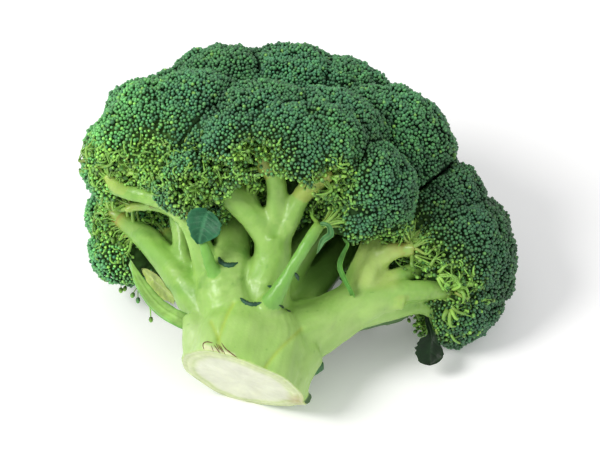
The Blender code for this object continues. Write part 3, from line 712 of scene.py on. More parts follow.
    # a whitish leaf base low on the left, and yellow-green seams between the leaf bases
    w = np.exp(-(((V[:, 0] + 19.5) / 5.5) ** 2 + ((V[:, 1] - 15.5) / 9.5) ** 2))[:, None] * (V[:, 2:3] > -8) * 0.75
    c = c * (1 - w) + np.array([0.50, 0.66, 0.30]) * w
    for seam in (((-12.5, 23), (-9.5, 17), (-8, 10)), ((-4, 30), (-7, 24), (-9.5, 17)), ((22, 20), (14, 13), (9, 7), (6, 3))):
        line = path_through([(a, b, 0.0) for a, b in seam], 0.5)
        d = np.linalg.norm(V[:, None, :2] - line[None, :, :2], axis=-1).min(1)
        w = (np.exp(-(d / 0.75) ** 2) * (V[:, 2] > 0) * 0.7)[:, None]
        c = c * (1 - w) + np.array([0.36, 0.50, 0.06]) * w
    # the torn leaf base above the cut
    px, py = V[:, 0], V[:, 1]
    w = (smooth01((px + 15.8) / 1.2) * smooth01((-2.2 - px) / 1.6) * smooth01((15.6 - 0.30 * (px + 15) - py) / 1.4) * (V[:, 2] > 5))[:, None]
    torn = np.array([0.62, 0.66, 0.38]) * (1 + 0.16 * noise(V * np.array([1, 0.3, 1]), 0.9, 57))[:, None]
    c = c * (1 - w) + torn * w
    # little dark flecks
    fleck = (noise(V, 1.3, 41) > 0.86)[:, None] * 0.35
    c = c * (1 - fleck) + (deep * 1.3) * fleck
    # the cut face: white pith, fibrous ring, green rim
    on = cut <= 1.0
    f = cut
    pith = np.array([0.66, 0.69, 0.53])
    ringc = np.array([0.58, 0.65, 0.37])
    rimc = np.array([0.42, 0.57, 0.19])
    line = np.array([0.47, 0.58, 0.23])
    w_ring = smooth01((f - 0.70) / 0.12)[:, None]
    cc = pith * (1 - w_ring) + ringc * w_ring
    w_line = np.exp(-((f - 0.80 - 0.02 * noise(V, 6, 51)) / 0.022) ** 2)[:, None] * 0.8
    cc = cc * (1 - w_line) + line * w_line
    w_line2 = np.exp(-((f - 0.925) / 0.02) ** 2)[:, None] * 0.6
    cc = cc * (1 - w_line2) + line * w_line2
    w_rim = smooth01((f - 0.965) / 0.03)[:, None]
    cc = cc * (1 - w_rim) + rimc * w_rim
    around = np.arctan2((V - st["centre"]) @ np.array([0.0, 0.4, 0.92]), (V - st["centre"]) @ np.array([1.0, 0, 0]))
    fibre = np.sin(around * 37 + 3 * noise(V, 5, 58)) * 0.5 + np.sin(around * 61 + 1.7) * 0.5
    cc = cc * (1 + 0.045 * fibre * smooth01((f - 0.72) / 0.08) + 0.05 * noise(V, 1.2, 52) + 0.06 * noise(V, 3.5, 53))[:, None]
    stain = smooth01((noise(V, 9, 54) - 0.35) / 0.4)[:, None] * 0.25
    cc = cc * (1 - stain) + np.array([0.66, 0.66, 0.40]) * stain
    burnt = (np.exp(-(((V[:, 0] - 20.0) / 3.0) ** 2 + ((V[:, 1] + 7.6) / 2.2) ** 2)) * 0.7)[:, None]
    cc = cc * (1 - burnt) + np.array([0.42, 0.33, 0.12]) * burnt
    c[on] = cc[on]
    return np.clip(c, 0.005, 1)


print("stalk")
ST = build_stalk()
paint = paint_stalk(ST)
# fine relief: long shallow furrows and a little unevenness
T = ST["skel"][ST["near"], 4:7]
along = (ST["V"] * T).sum(1, keepdims=True) * T
q = ST["V"] - along * 0.9
relief = 0.16 * noise(q, 1.7, 61) + 0.10 * noise(q, 0.9, 62) + 0.22 * noise(ST["V"], 5.5, 63)
keep_cut = (ST["cut"] <= 1.0)
for seam in (((-12.5, 23), (-9.5, 17), (-8, 10)), ((-4, 30), (-7, 24), (-9.5, 17)), ((22, 20), (14, 13), (9, 7), (6, 3))):
    line = path_through([(a, b, 0.0) for a, b in seam], 0.5)
    d = np.linalg.norm(ST["V"][:, None, :2] - line[None, :, :2], axis=-1).min(1)
    relief -= 0.55 * np.exp(-(d / 1.0) ** 2) * (ST["V"][:, 2] > 0)
relief[keep_cut] = 0
ST["V"] = ST["V"] + ST["N"] * relief[:, None]
# nothing of it goes below the surface that it rests on
sunk = np.maximum(0.0, -SHIFT[2] * 1000.0 + 0.02 - ST["V"] @ UP)
ST["V"] = ST["V"] + UP * sunk[:, None]
STALK_BVH = BVHTree.FromPolygons([Vector(v) for v in ST["V"]], [list(map(int, f)) for f in ST["quads"]] + [list(map(int, f)) for f in ST["tris"]])
stalk = make_mesh("stalk_flesh", world(ST["V"]), [ST["quads"], ST["tris"]], paint=paint)
stalk.data.set_sharp_from_angle(angle=math.radians(50))
finish_piece(stalk, MAT_STALK, ["stalk"])


def on_stalk(x, y, sink=0.0):
    """The stalk's upper side at x, y: the point and its normal."""
    hit, nrm, _, _ = STALK_BVH.ray_cast(Vector((x, y, 120.0)), Vector((0, 0, -1)))
    if hit is None:
        return None
    nrm = np.array(nrm)
    if nrm[2] < 0:
        nrm = -nrm
    return np.array(hit) - nrm * sink, nrm


# remains of cut leaves and torn rind lying on the flesh: the line, its thickness and its colour
TEAL = (0.018, 0.085, 0.045)
DARK = (0.015, 0.05, 0.022)
RUST = (0.16, 0.095, 0.03)
SCARS = {
    "scar_centre": ([(-1.2, 31.8), (0.8, 30.2), (3.6, 29.4), (6.8, 30.2)], 1.05, TEAL),
    "scar_inner": ([(-9.8, 47.4), (-8.6, 45.2), (-5.8, 44.2), (-2.4, 45.2)], 1.15, TEAL),
    "scar_bract": ([(-30.5, 27.6), (-26.0, 25.6), (-21.5, 26.4), (-16.5, 25.0)], 0.75, TEAL),
    "scar_left": ([(-41.3, 36.6), (-39.6, 35.2), (-37.4, 35.4)], 0.7, DARK),
    "scar_nick": ([(9.0, 36.4), (10.6, 36.0), (11.9, 35.7)], 0.55, TEAL),
    "scar_right": ([(19.4, 41.6), (20.4, 40.2), (21.0, 38.6)], 0.7, DARK),
    "scar_dots_a": ([(13.5, 29.3), (14.6, 28.6), (15.4, 28.0)], 0.5, DARK),
    "scar_dots_b": ([(16.2, 27.4), (17.0, 26.8), (17.8, 26.6)], 0.45, DARK),
    "torn_left": ([(-14.6, 12.6), (-15.2, 14.6), (-13.8, 15.6), (-11.2, 15.2)], 0.28, RUST),
    "torn_right": ([(-8.2, 15.4), (-6.6, 13.2), (-4.2, 11.4), (-1.8, 9.6)], 0.28, RUST),
    "torn_mid_a": ([(-11.0, 14.6), (-9.6, 12.8), (-8.4, 11.2)], 0.2, RUST),
    "torn_mid_c": ([(-10.2, 15.2), (-9.4, 13.6), (-8.8, 12.4)], 0.16, RUST),
    "torn_mid_d": ([(-8.8, 14.6), (-7.6, 12.6), (-6.4, 10.8)], 0.18, RUST),
    "torn_mid_e": ([(-12.0, 14.4), (-11.4, 13.0), (-11.0, 11.8)], 0.15, RUST),
    "torn_mid_b": ([(-9.4, 14.8), (-8.4, 13.0), (-7.4, 11.6)], 0.2, RUST),
}


def scar_pieces():
    Ps, Rs, Cs = [], [], []
    srng = np.random.RandomState(4)
    for pts, thick, colour in SCARS.values():
        line = path_through([(x, y, 0.0) for x, y in pts], 0.25)
        idx = np.linspace(0, len(line) - 1, 18).round().astype(int)
        path, last = [], None
        for x, y, _ in line[idx]:
            got = on_stalk(x, y, 0.15 * thick)
            p = got[0] if got else last
            if p is None:
                continue
            if last is not None and abs(p[2] - last[2]) > 4:
                p = np.array([p[0], p[1], last[2]])
            path.append(p)
            last = p
        if len(path) < 18:
            continue
        path = np.array(path)
        for _ in range(2):
            path[1:-1] = (path[:-2] + 2 * path[1:-1] + path[2:]) / 4
        t = np.linspace(0, 1, 18)
        Ps.append(path)
        Rs.append(thick * (np.sin(np.pi * (0.06 + 0.88 * t)) ** 0.7) * (1 + 0.22 * srng.uniform(-1, 1, 18)))
        Cs.append(colour)
    V, q, t, n, al, ar = tube_batch(np.array(Ps), np.array(Rs), 9)
    col = np.repeat(np.array(Cs)[:, None, :], n, 1)
    pale = (0.5 + 0.5 * np.sin(ar * 1.0 + 1.1))[None, :, None]
    col = col * (0.65 + 0.9 * pale)
    obj = make_mesh("leaf_scars", world(V), [q, t], paint=col.reshape(-1, 3),
                    uv=grid_cells(len(Ps), al, ar / 6.4, 0.06))
    finish_piece(obj, MAT_SCAR, ["stalk"])


scar_pieces()


# ---------------------------------------------------------------------- buds
def bud_template(sides=6):
    """A flower bud, base at -1 and tip at +1."""
    levels = [(-0.62, 0.74), (0.12, 1.0), (0.70, 0.66)]
    ang = np.arange(sides) / sides * 2 * np.pi
    V, U, H = [(0, 0, -1.0)], [(0.5, 0.5)], [-1.0]
    V, uv, h = [], [], []
    for j, (z, r) in enumerate(levels):
        rr = 0.5 * (0.95 - 0.28 * j)
        for a in ang:
            V.append((math.cos(a) * r, math.sin(a) * r, z))
            uv.append((0.5 + rr * math.cos(a), 0.5 + rr * math.sin(a)))
            h.append(z)
    tip = len(V)
    V.append((0, 0, 0.98))
    uv.append((0.5, 0.5))
    h.append(1.0)
    base = len(V)
    V.append((0, 0, -0.9))
    uv.append((0.98, 0.02))
    h.append(-1.0)
    quads, tris = [], []
    for j in range(len(levels) - 1):
        for i in range(sides):
            a, b = j * sides + i, j * sides + (i + 1) % sides
            quads.append((a, b, b + sides, a + sides))
    top = (len(levels) - 1) * sides
    for i in range(sides):
        tris.append((top + i, top + (i + 1) % sides, tip))
        tris.append(((i + 1) % sides, i, base))
    return np.array(V), np.array(quads), np.array(tris), np.array(uv), np.array(h)


BUD_V, BUD_Q, BUD_T, BUD_UV, BUD_H = bud_template()


def buds_mesh(P, A, radius, length, spin):
    """Vertices of many buds: centres P, axes A, radii, half lengths and spins about the axis."""
    ref = np.where(np.abs(A[:, 2:3]) > 0.9, np.array([1.0, 0, 0]), np.array([0, 0, 1.0]))
    X = unit(np.cross(A, ref))
    Y = np.cross(A, X)
    c, s = np.cos(spin)[:, None], np.sin(spin)[:, None]
    X, Y = X * c + Y * s, Y * c - X * s
    V = (P[:, None, :] + X[:, None, :] * (BUD_V[None, :, 0:1] * radius[:, None, None])
         + Y[:, None, :] * (BUD_V[None, :, 1:2] * radius[:, None, None])
         + A[:, None, :] * (BUD_V[None, :, 2:3] * length[:, None, None]))
    return V


def sphere_points(n):
    i = np.arange(n) + 0.5
    z = 1 - 2 * i / n
    phi = i * math.pi * (3 - math.sqrt(5))
    r = np.sqrt(1 - z * z)
    return np.stack([r * np.cos(phi), r * np.sin(phi), z], -1)


def crown_candidates(cell=0.52):
    """Points spread over the outside of all the balls together, with their ball and normal."""
    P, N, B = [], [], []
    for k, (x, y, z, r) in enumerate(BALLS):
        n = int(4 * math.pi * r * r / cell ** 2)
        d = sphere_points(n)
        p = d * r + (x, y, z)
        ok = np.ones(n, bool)
        for j, (a, b, c, q) in enumerate(BALLS):
            if j == k:
                continue
            ok &= ((p - (a, b, c)) ** 2).sum(1) > (q - 0.02) ** 2
        for s in FLORETS[NAMES[OWNER[k]]]["scoops"]:
            ok &= ((((p - s[:3]) / np.array(s[3:6])) ** 2).sum(1) > 1.0)
        P.append(p[ok])
        N.append(d[ok])
        B.append(np.full(ok.sum(), k))
    return np.vstack(P), np.vstack(N), np.concatenate(B)


def dart_throw(P, spacing, order):
    """Keep points in order so long as none kept is nearer than its own spacing."""
    cell = float(spacing.max())
    keys = np.floor(P / cell).astype(int)
    grid = {}
    kept = []
    near = [(a, b, c) for a in (-1, 0, 1) for b in (-1, 0, 1) for c in (-1, 0, 1)]
    Pl, Kl, Sl = P.tolist(), keys.tolist(), (spacing ** 2).tolist()
    for i in order:
        x, y, z = Pl[i]
        kx, ky, kz = Kl[i]
        s2 = Sl[i]
        clear = True
        for a, b, c in near:
            cellpts = grid.get((kx + a, ky + b, kz + c))
            if cellpts:
                for (u, v, w) in cellpts:
                    if (u - x) ** 2 + (v - y) ** 2 + (w - z) ** 2 < s2:
                        clear = False
                        break
                if not clear:
                    break
        if clear:
            grid.setdefault((kx, ky, kz), []).append((x, y, z))
            kept.append(i)
    return np.array(kept)


def scoop_nearness(p, owner_index):
    """1 at the edge of a floret's scooped underside, falling to 0 away from it."""
    out = np.zeros(len(p))
    for i, name in enumerate(NAMES):
        sel = owner_index == i
        if not sel.any():
            continue
        for s in FLORETS[name]["scoops"]:
            g = np.sqrt((((p[sel] - s[:3]) / np.array(s[3:6])) ** 2).sum(1))
            dist = (g - 1.0) * min(s[3:6])
            out[sel] = np.maximum(out[sel], smooth01(1 - dist / 7.5))
    return out


print("buds")
rng = np.random.RandomState(20)
CP, CN, CB = crown_candidates()
owner = OWNER[CB]
outward = unit(CP - HUB)
face_out = (CN * outward).sum(1)
keep = (face_out > -0.42) | ((owner == NAMES.index("floret_left_inner")) & (CN[:, 2] > -0.3))
CP, CN, CB, owner, face_out = CP[keep], CN[keep], CB[keep], owner[keep], face_out[keep]
height = (CP + 0) @ UP
floor_h = -(SHIFT[2]) * 1000.0     # height of the surface in the face frame's millimetres along UP
keep = height > floor_h - 1.6
CP, CN, CB, owner, face_out, height = CP[keep], CN[keep], CB[keep], owner[keep], face_out[keep], height[keep]
fringe = np.maximum(scoop_nearness(CP, owner), smooth01((0.34 - face_out) / 0.5))
spacing = 1.08 + 0.14 * fringe + 0.09 * noise(CP, 7.0, 3)
order = rng.permutation(len(CP))
kept = dart_throw(CP, spacing, order)
P, N, B, own, fr, fo = CP[kept], CN[kept], CB[kept], owner[kept], fringe[kept], face_out[kept]
print("buds", len(P))


def clusters(points, spacing):
    """Centres spread over the points: for each point its nearest centre and its distance from it."""
    idx = dart_throw(points, np.full(len(points), spacing), rng.permutation(len(points)))
    c = points[idx]
    which, dist = np.zeros(len(points), int), np.zeros(len(points))
    for lo in range(0, len(points), 1500):
        d = np.linalg.norm(points[lo:lo + 1500, None] - c[None], axis=-1)
        which[lo:lo + 1500] = d.argmin(1)
        dist[lo:lo + 1500] = d.min(1)
    return c, which, dist


def creases(points, ball, owner_index):
    """How deep a point lies between two balls, of its own floret and of another one."""
    same, other = np.full(len(points), 99.0), np.full(len(points), 99.0)
    for j, (x, y, z, q) in enumerate(BALLS):
        d = np.linalg.norm(points - (x, y, z), axis=1) - q
        d = np.where(ball == j, 99.0, d)
        mine = OWNER[j] == owner_index
        same = np.where(mine, np.minimum(same, d), same)
        other = np.where(mine, other, np.minimum(other, d))
    return np.exp(-same / 1.6), np.exp(-other / 2.2)


big_c, big, big_d = clusters(P, 6.6)
small_c, small, small_d = clusters(P, 2.9)
own_crease, rim_crease = creases(P, B, own)
dome_b = 1 - (big_d / 5.0) ** 2
dome_s = 1 - (small_d / 2.1) ** 2
lump = 0.9 * noise(P, 11.0, 71) + 0.5 * noise(P, 5.0, 72)
rise = 0.95 * (dome_b - 0.5) + 0.42 * (dome_s - 0.4) + lump - 0.36 - 0.6 * own_crease - 0.90 * rim_crease
nb = len(P)


def lean_from(c, which):
    v = P - c[which]
    return v - (v * N).sum(1, keepdims=True) * N


A = unit(N + 0.10 * lean_from(big_c, big) + 0.20 * lean_from(small_c, small) + 0.20 * rng.normal(size=(nb, 3))
         + 0.25 * fr[:, None] * rng.normal(size=(nb, 3)))
size = (0.76 + 0.11 * rng.normal(size=nb).clip(-1.8, 1.8)) * (1 - 0.18 * fr)
length = size * rng.uniform(1.08, 1.38, nb)
centre = P + N * (rise - 0.10 * length + 0.18 * rng.normal(size=nb).clip(-2, 2))[:, None] + 0.12 * rng.normal(size=(nb, 3))
# buds that meet the surface are pressed up onto it
h = centre @ UP - floor_h
lift = np.maximum(0, size * 1.1 + 0.15 - h)
centre = centre + UP * lift[:, None]
bV = buds_mesh(centre, A, size, length, rng.uniform(0, 6.28, nb))

dark = np.array([0.018, 0.080, 0.030])
mid = np.array([0.048, 0.185, 0.058])
blue = np.array([0.046, 0.190, 0.105])
lime = np.array([0.215, 0.45, 0.060])
fresh = np.array([0.095, 0.31, 0.070])


def zone(points, spots):
    """Soft weight near each of the spots (x, y, z, radius, weight)."""
    w = np.zeros(len(points))
    for x, y, z, r, k in spots:
        w = np.maximum(w, k * np.exp(-((points - (x, y, z)) ** 2).sum(1) / (r * r)))
    return w


# the left of the crown, and its open edges, are younger and yellower
YOUNG = [(-54, 92, -12, 20, 0.95), (-38, 86, -2, 18, 1.0), (-52, 78, -6, 14, 1.0), (-52, 56, -42, 20, 0.75), (-20, 74, 12, 13, 0.65),
         (6, 82, 16, 15, 0.6), (34, 76, 10, 14, 0.65), (31, 90, 10, 13, 0.5), (12, 92, 16, 10, 0.35), (80, 36, -16, 13, 0.6),
         (60, 52, -8, 12, 0.55), (-46, 104, -16, 20, 0.6), (72, 50, -16, 12, 0.45), (-26, 92, 0, 12, 0.4)]
young = zone(P, YOUNG)
# dark to mid green at random, with painted light: lighter on the tops of the domes
w1 = np.clip(0.42 + 0.30 * rng.normal(size=nb) + 0.25 * (dome_s - 0.4) + 0.15 * (dome_b - 0.5), 0, 1)[:, None]
col = dark * (1 - w1) + mid * w1
w2 = (smooth01(0.45 + 0.9 * noise(P, 16.0, 81)) * rng.uniform(0.2, 1.0, nb))[:, None]
col = col * (1 - 0.55 * w2) + blue * 0.55 * w2
w4 = np.clip(young * 0.9 + 0.22 * rng.normal(size=nb) + 0.45 * noise(P, 5.0, 84) * young, 0, 1)[:, None]
col = col * (1 - 0.8 * w4) + fresh * 0.8 * w4
w3 = smooth01(fr * 0.75 + 0.34 * young + 0.36 * rng.normal(size=nb) - 0.44)[:, None]
col = col * (1 - 0.8 * w3) + lime * 0.8 * w3
odd = (rng.uniform(size=nb) < 0.008)[:, None]
col = np.where(odd, col * 0.5 + lime * 0.5, col)
# painted light and shade: the crown is darker towards the right and lighter towards the left, the upper right and the
# top
col = col * (1 - 0.30 * smooth01((P[:, 0:1] - 52) / 32)) * (1 + 0.42 * smooth01((-20 - P[:, 0:1]) / 30))
col = col * (1 + 0.40 * smooth01((P[:, 1:2] - 72) / 25) * smooth01((P[:, 0:1] - 48) / 16)) * (1 + 0.14 * smooth01((P[:, 1:2] - 100) / 20))
# painted shade: darker in the creases between the domes; then a random tone for each bud
col = col * (1 - 0.28 * rim_crease - 0.22 * own_crease)[:, None] * rng.uniform(0.8, 1.2, (nb, 1))
# painted shade and light along each bud: dark at the base where the buds crowd, lighter towards the tip, with a painted
# highlight mixed in at the tip
bud_shade_and_tip_light = np.interp(BUD_H, [-1, -0.6, 0.0, 0.6, 1.0], [0.18, 0.35, 0.85, 1.35, 1.85])
tip_highlight_mix = np.interp(BUD_H, [0.2, 1.0], [0.0, 0.35])
bcol = col[:, None, :] * bud_shade_and_tip_light[None, :, None]
bcol = bcol * (1 - tip_highlight_mix[None, :, None]) + (col[:, None, :] * 1.4 + np.array([0.02, 0.05, 0.02])) * tip_highlight_mix[None, :, None]


# ------------------------------------------------------------------ pedicels
def branch_tips():
    """The last stretch of each branch: points, directions and radii to grow pedicels from."""
    tips = []
    for name, pts in BRANCHES.items():
        if name in ("trunk", "right_root", "left_base", "cut_nub", "rear_nub", "centre", "right", "petiole_stub"):
            continue
        line = path_through(pts, 1.0)
        tips.append((name, line))
    return tips


TIPS = branch_tips()
ANCH_P, ANCH_T, ANCH_R = [], [], []
for name, line in TIPS:
    n = len(line)
    D = unit(np.gradient(line[:, :3], axis=0))
    back = 12 if name not in ("side_stem",) else 3
    for i in range(max(0, n - back), n):
        ANCH_P.append(line[i, :3])
        ANCH_T.append(D[i])
        ANCH_R.append(line[i, 3])
for pts in ENDS.values():
    line = path_through(pts, 1.0)
    D = unit(np.gradient(line[:, :3], axis=0))
    for i in range(len(line) // 2, len(line)):
        ANCH_P.append(line[i, :3])
        ANCH_T.append(D[i])
        ANCH_R.append(line[i, 3])
ANCH_P, ANCH_T, ANCH_R = np.array(ANCH_P), np.array(ANCH_T), np.array(ANCH_R)


def grow(target, inward, rng, reach, jitter=0.8):
    """Curved stalks from the nearest branch ends to the targets: returns paths (m, k, 3) and which were near enough."""
    m = len(target)
    d = np.linalg.norm(target[:, None] - ANCH_P[None], axis=-1)
    ahead = ((target[:, None] - ANCH_P[None]) * ANCH_T[None]).sum(-1) / np.maximum(d, 1e-6)
    score = d * (1.35 - 0.55 * ahead)
    pick = score.argmin(1)
    dist = d[np.arange(m), pick]
    ok = dist < reach
    a = ANCH_P[pick]
    dirn = ANCH_T[pick]
    out = target - a
    perp = out - (out * dirn).sum(1, keepdims=True) * dirn
    start = a + unit(perp) * (ANCH_R[pick] * 0.75)[:, None]
    c1 = start + dirn * (0.38 * dist)[:, None] + unit(perp) * (0.12 * dist)[:, None] + rng.normal(size=(m, 3)) * jitter
    c2 = target + inward * (0.30 * dist)[:, None] + rng.normal(size=(m, 3)) * jitter * 0.6
    t = np.linspace(0, 1, 8)[None, :, None]
    path = ((1 - t) ** 3 * start[:, None] + 3 * (1 - t) ** 2 * t * c1[:, None]
            + 3 * (1 - t) * t ** 2 * c2[:, None] + t ** 3 * target[:, None])
    return path, ok


print("pedicels")
prng = np.random.RandomState(33)
cand = np.where((fr > 0.35) & (prng.uniform(size=nb) < 0.40 + 0.4 * fr))[0]
target = centre[cand] - A[cand] * (length[cand] * 0.8)[:, None]
ppath, ok = grow(target, -A[cand], prng, 12.0, 1.3)
cand, ppath = cand[ok], ppath[ok]


def threads(count, r):
    """Small flower stalks that lie curled over the buds where the crown is young and open."""
    tree = KDTree(len(P))
    for i, p in enumerate(P):
        tree.insert(Vector(p), i)
    tree.balance()
    weight = np.clip(young - 0.25, 0, 1) * (fo > 0.05) * (0.25 + fr) * (P[:, 1] < 92)
    seeds = r.choice(len(P), count, replace=False, p=weight / weight.sum())
    paths, who = [], []
    for i in seeds:
        nrm = N[i]
        head = r.normal(size=3)
        head = unit(head - (head @ nrm) * nrm)
        turn = r.uniform(-0.45, 0.45)
        q = centre[i] - nrm * 0.4
        step = r.uniform(0.50, 1.0)
        line = [q]
        for j in range(6):
            co, idx, _ = tree.find(Vector(q + head * step))
            nrm = unit(nrm + N[idx])
            q = q + head * step
            lift = 1.15 * math.sin(math.pi * (j + 1) / 6.0) - 0.15
            q = q - nrm * ((q - centre[idx]) @ nrm - lift)
            head = unit(head - (head @ nrm) * nrm)
            head = unit(head * math.cos(turn) + np.cross(nrm, head) * math.sin(turn))
            turn += r.uniform(-0.15, 0.15)
            line.append(q)
        line = np.array(line)
        line[1:-1] = (line[:-2] + 2 * line[1:-1] + line[2:]) / 4
        if (line @ UP).min() < floor_h + 1.0:
            continue
        paths.append(line)
        who.append(own[i])
    return np.array(paths), np.array(who)


THREADS, THREAD_OWN = threads(170, np.random.RandomState(88))
print("threads", len(THREADS))
print("pedicels", len(cand))


# extra tips that have no branch of their own: point, direction, radius
MORE_TIPS = [((31, 78, 13), (0.3, 0.3, 0.9), 2.6, 0.46),
             ((72, 42.5, -13), (0.3, -0.1, 0.9), 3.0, 0.46), ((75, 40, -12), (0.5, -0.3, 0.8), 3.0, 0.46), ((81, 33, -15), (0.4, -0.3, 0.9), 3.0, 0.46),
             ((80, 27, -17), (0.4, -0.5, 0.8), 3.0, 0.46), ((83, 36, -15), (0.5, 0.1, 0.9), 3.0, 0.46),
             ((4.5, 90.5, 7.5), (-0.1, 0.75, 0.6), 2.2, 1.1), ((35.5, 77.5, 6.5), (0.7, 0.1, 0.7), 2.6, 1.1),
             ((-57.5, 82, -9), (-0.5, 0.7, 0.5), 2.4, 1.1), ((-46, 80, -4), (0.1, 0.6, 0.8), 1.8, 0.8),
             ((-22.5, 78.5, 4.5), (-0.1, 0.15, 1.0), 2.0, 1.0), ((-37, 81.5, -5), (0.0, 0.6, 0.8), 1.6, 1.2)]


TUFT = {"left_upper": 260, "left": 300, "right_1b": 90, "right_2": 90, "right_3": 110, "centre_right": 60, "centre_mid": 40,
        "centre_left": 50, "centre_left_b": 50, "left_small": 30}


def spray_set():
    """Flower stalks that fan out from each branch end and carry small open tufts of buds."""
    r = np.random.RandomState(77)
    tips = [(line[-1, :3], unit(line[-1, :3] - line[-5, :3]), line[-1, 3], 0.22 if nm == "side_stem" else 1.0) for nm, line in TIPS]
    tips = [t for t, (nm, _) in zip(tips, TIPS) if nm not in DIVIDE]
    for pts in ENDS.values():
        a, b = np.array(pts[-2], float), np.array(pts[-1], float)
        tips.append((b[:3], unit(b[:3] - a[:3]), b[3], 0.46))
    # and some along the last stretch of the thicker ones
    for nm, line in TIPS:
        for back in (6, 11):
            if nm == "side_stem":
                continue
            if len(line) > back + 6:
                tips.append((line[-back, :3], unit(line[-back, :3] - line[-back - 5, :3]), line[-back, 3], 0.5))
    tips += [(np.array(a, float), unit(np.array(b, float)), c, w) for a, b, c, w in MORE_TIPS]
    skel = ST["skel"]
    arms, arm_r, twigs, twig_r, buds = [], [], [], [], []
    for p, d, rad, weight in tips:
        n = int((13 + 2 * rad) * weight)
        ref = unit(np.cross(d, [0.31, 0.62, 0.72]))
        oth = np.cross(d, ref)
        for i in range(n):
            ang = i * 2.39996 + r.uniform(-0.4, 0.4)
            tilt = math.radians(18 + 78 * math.sqrt((i + 0.5) / n)) if weight == 1.0 else math.radians(8 + 74 * math.sqrt((i + 0.5) / n)) if weight == 0.46 else math.radians(r.uniform(55, 95))
            side = ref * math.cos(ang) + oth * math.sin(ang)
            dirn = unit(d * math.cos(tilt) + side * math.sin(tilt) + 0.10 * r.normal(size=3))
            ln = r.uniform(3.2, 6.0) if weight == 0.46 else r.uniform(4.5, 9.0) * (1.15 if tilt > 0.9 else 1.0)
            start = p + side * rad * 0.55 - d * 0.8
            end = start + dirn * ln + d * (0.18 * ln) - np.array([0, 0.10 * ln, 0]) * (tilt > 1.1)
            c1 = start + (d * 0.75 + dirn * 0.25) * ln * 0.38 + r.normal(size=3) * 0.3
            c2 = end - (dirn * 0.55 + d * 0.1) * ln * 0.35 + r.normal(size=3) * 1.5
            t = np.linspace(0, 1, 7)[:, None]
            arm = (1 - t) ** 3 * start + 3 * (1 - t) ** 2 * t * c1 + 3 * (1 - t) * t ** 2 * c2 + t ** 3 * end
            tdir = unit(arm[-1] - arm[-2])
            m = r.randint(6, 11)
            own_twigs = []
            for j in range(m):
                a2 = j * 2.39996 + r.uniform(0, 1)
                t2 = math.radians(12 + 62 * math.sqrt((j + 0.5) / m))
                u1 = unit(np.cross(tdir, [0.5, 0.2, 0.84]))
                u2 = np.cross(tdir, u1)
                dd = unit(tdir * math.cos(t2) + (u1 * math.cos(a2) + u2 * math.sin(a2)) * math.sin(t2))
                l2 = r.uniform(2.0, 4.2)
                k0 = r.randint(4, 7)
                s0 = arm[k0]
                e0 = s0 + dd * l2 + tdir * 0.35 * l2
                m0 = s0 + dd * l2 * 0.25 + tdir * 0.5 * l2 + r.normal(size=3) * 0.35
                size = r.uniform(0.55, 0.92)
                tip = e0 + unit(e0 - m0) * size * 0.9
                # inside the crown's outline, above the surface, clear of the flesh
                if power(tip[None], BALLS)[0][0] > 22 or tip @ UP < floor_h + 1.4:
                    continue
                if (np.linalg.norm(skel[:, :3] - tip, axis=1) - skel[:, 3]).min() < size * 0.9:
                    continue
                tt = np.linspace(0, 1, 5)[:, None]
                own_twigs.append(((1 - tt) ** 2 * s0 + 2 * (1 - tt) * tt * m0 + tt ** 2 * e0, tip, unit(e0 - m0), size))
            if len(own_twigs) < 2:
                continue
            arms.append(arm)
            arm_r.append(r.uniform(0.55, 0.85))
            for path, tip, ax, size in own_twigs:
                twigs.append(path)
                twig_r.append(r.uniform(0.26, 0.38))
                buds.append((*tip, *ax, size))
    for name in DIVIDE:
        pts = np.array(BRANCHES[name] if name != "left_upper" else FINE_BRANCHES["tip_e"], float)
        p, d, rad = pts[-1, :3], unit(pts[-1, :3] - pts[-2, :3]), pts[-1, 3]
        ref = unit(np.cross(d, [0.3, 0.5, 0.8]))
        oth = np.cross(d, ref)
        for i in range(TUFT.get(name, 60)):
            a = i * 2.39996 + r.uniform(-0.3, 0.3)
            tilt = math.radians(r.uniform(5, 128))
            dirn = unit(d * math.cos(tilt) + (ref * math.cos(a) + oth * math.sin(a)) * math.sin(tilt))
            s0 = p + dirn * rad * 0.5 - d * r.uniform(0.0, 8.0)
            reach = rad * 0.5 + r.uniform(2.0, 6.0)
            e0 = s0 + dirn * reach + d * 0.25 * reach
            m0 = (s0 + e0) / 2 + d * 0.25 * reach + r.normal(size=3) * 1.2
            size = r.uniform(0.55, 0.95)
            tip = e0 + unit(e0 - m0) * size * 0.9
            if power(tip[None], BALLS)[0][0] > 8 or tip @ UP < floor_h + 1.4:
                continue
            if (np.linalg.norm(skel[:, :3] - tip, axis=1) - skel[:, 3]).min() < size * 0.8:
                continue
            tt = np.linspace(0, 1, 5)[:, None]
            twigs.append((1 - tt) ** 2 * s0 + 2 * (1 - tt) * tt * m0 + tt ** 2 * e0)
            twig_r.append(0.35)
            buds.append((*tip, *unit(e0 - m0), size))
    return (np.array(arms), np.array(arm_r), np.array(twigs), np.array(twig_r), np.array(buds))


# ---------------------------------------------------------------- floret core
def power(points, balls):
    d = ((points[..., None, :] - balls[:, :3]) ** 2).sum(-1) - balls[:, 3] ** 2
    return d.min(-1), d.argmin(-1)


def own_share(k, points, gap):
    mine_b, rest_b = BALLS[OWNER == k], BALLS[OWNER != k]
    mine, which = power(points, mine_b)
    other, rival = power(points, rest_b)
    apart = np.linalg.norm(mine_b[which, :3] - rest_b[rival, :3], axis=-1)
    return mine + gap * apart < other


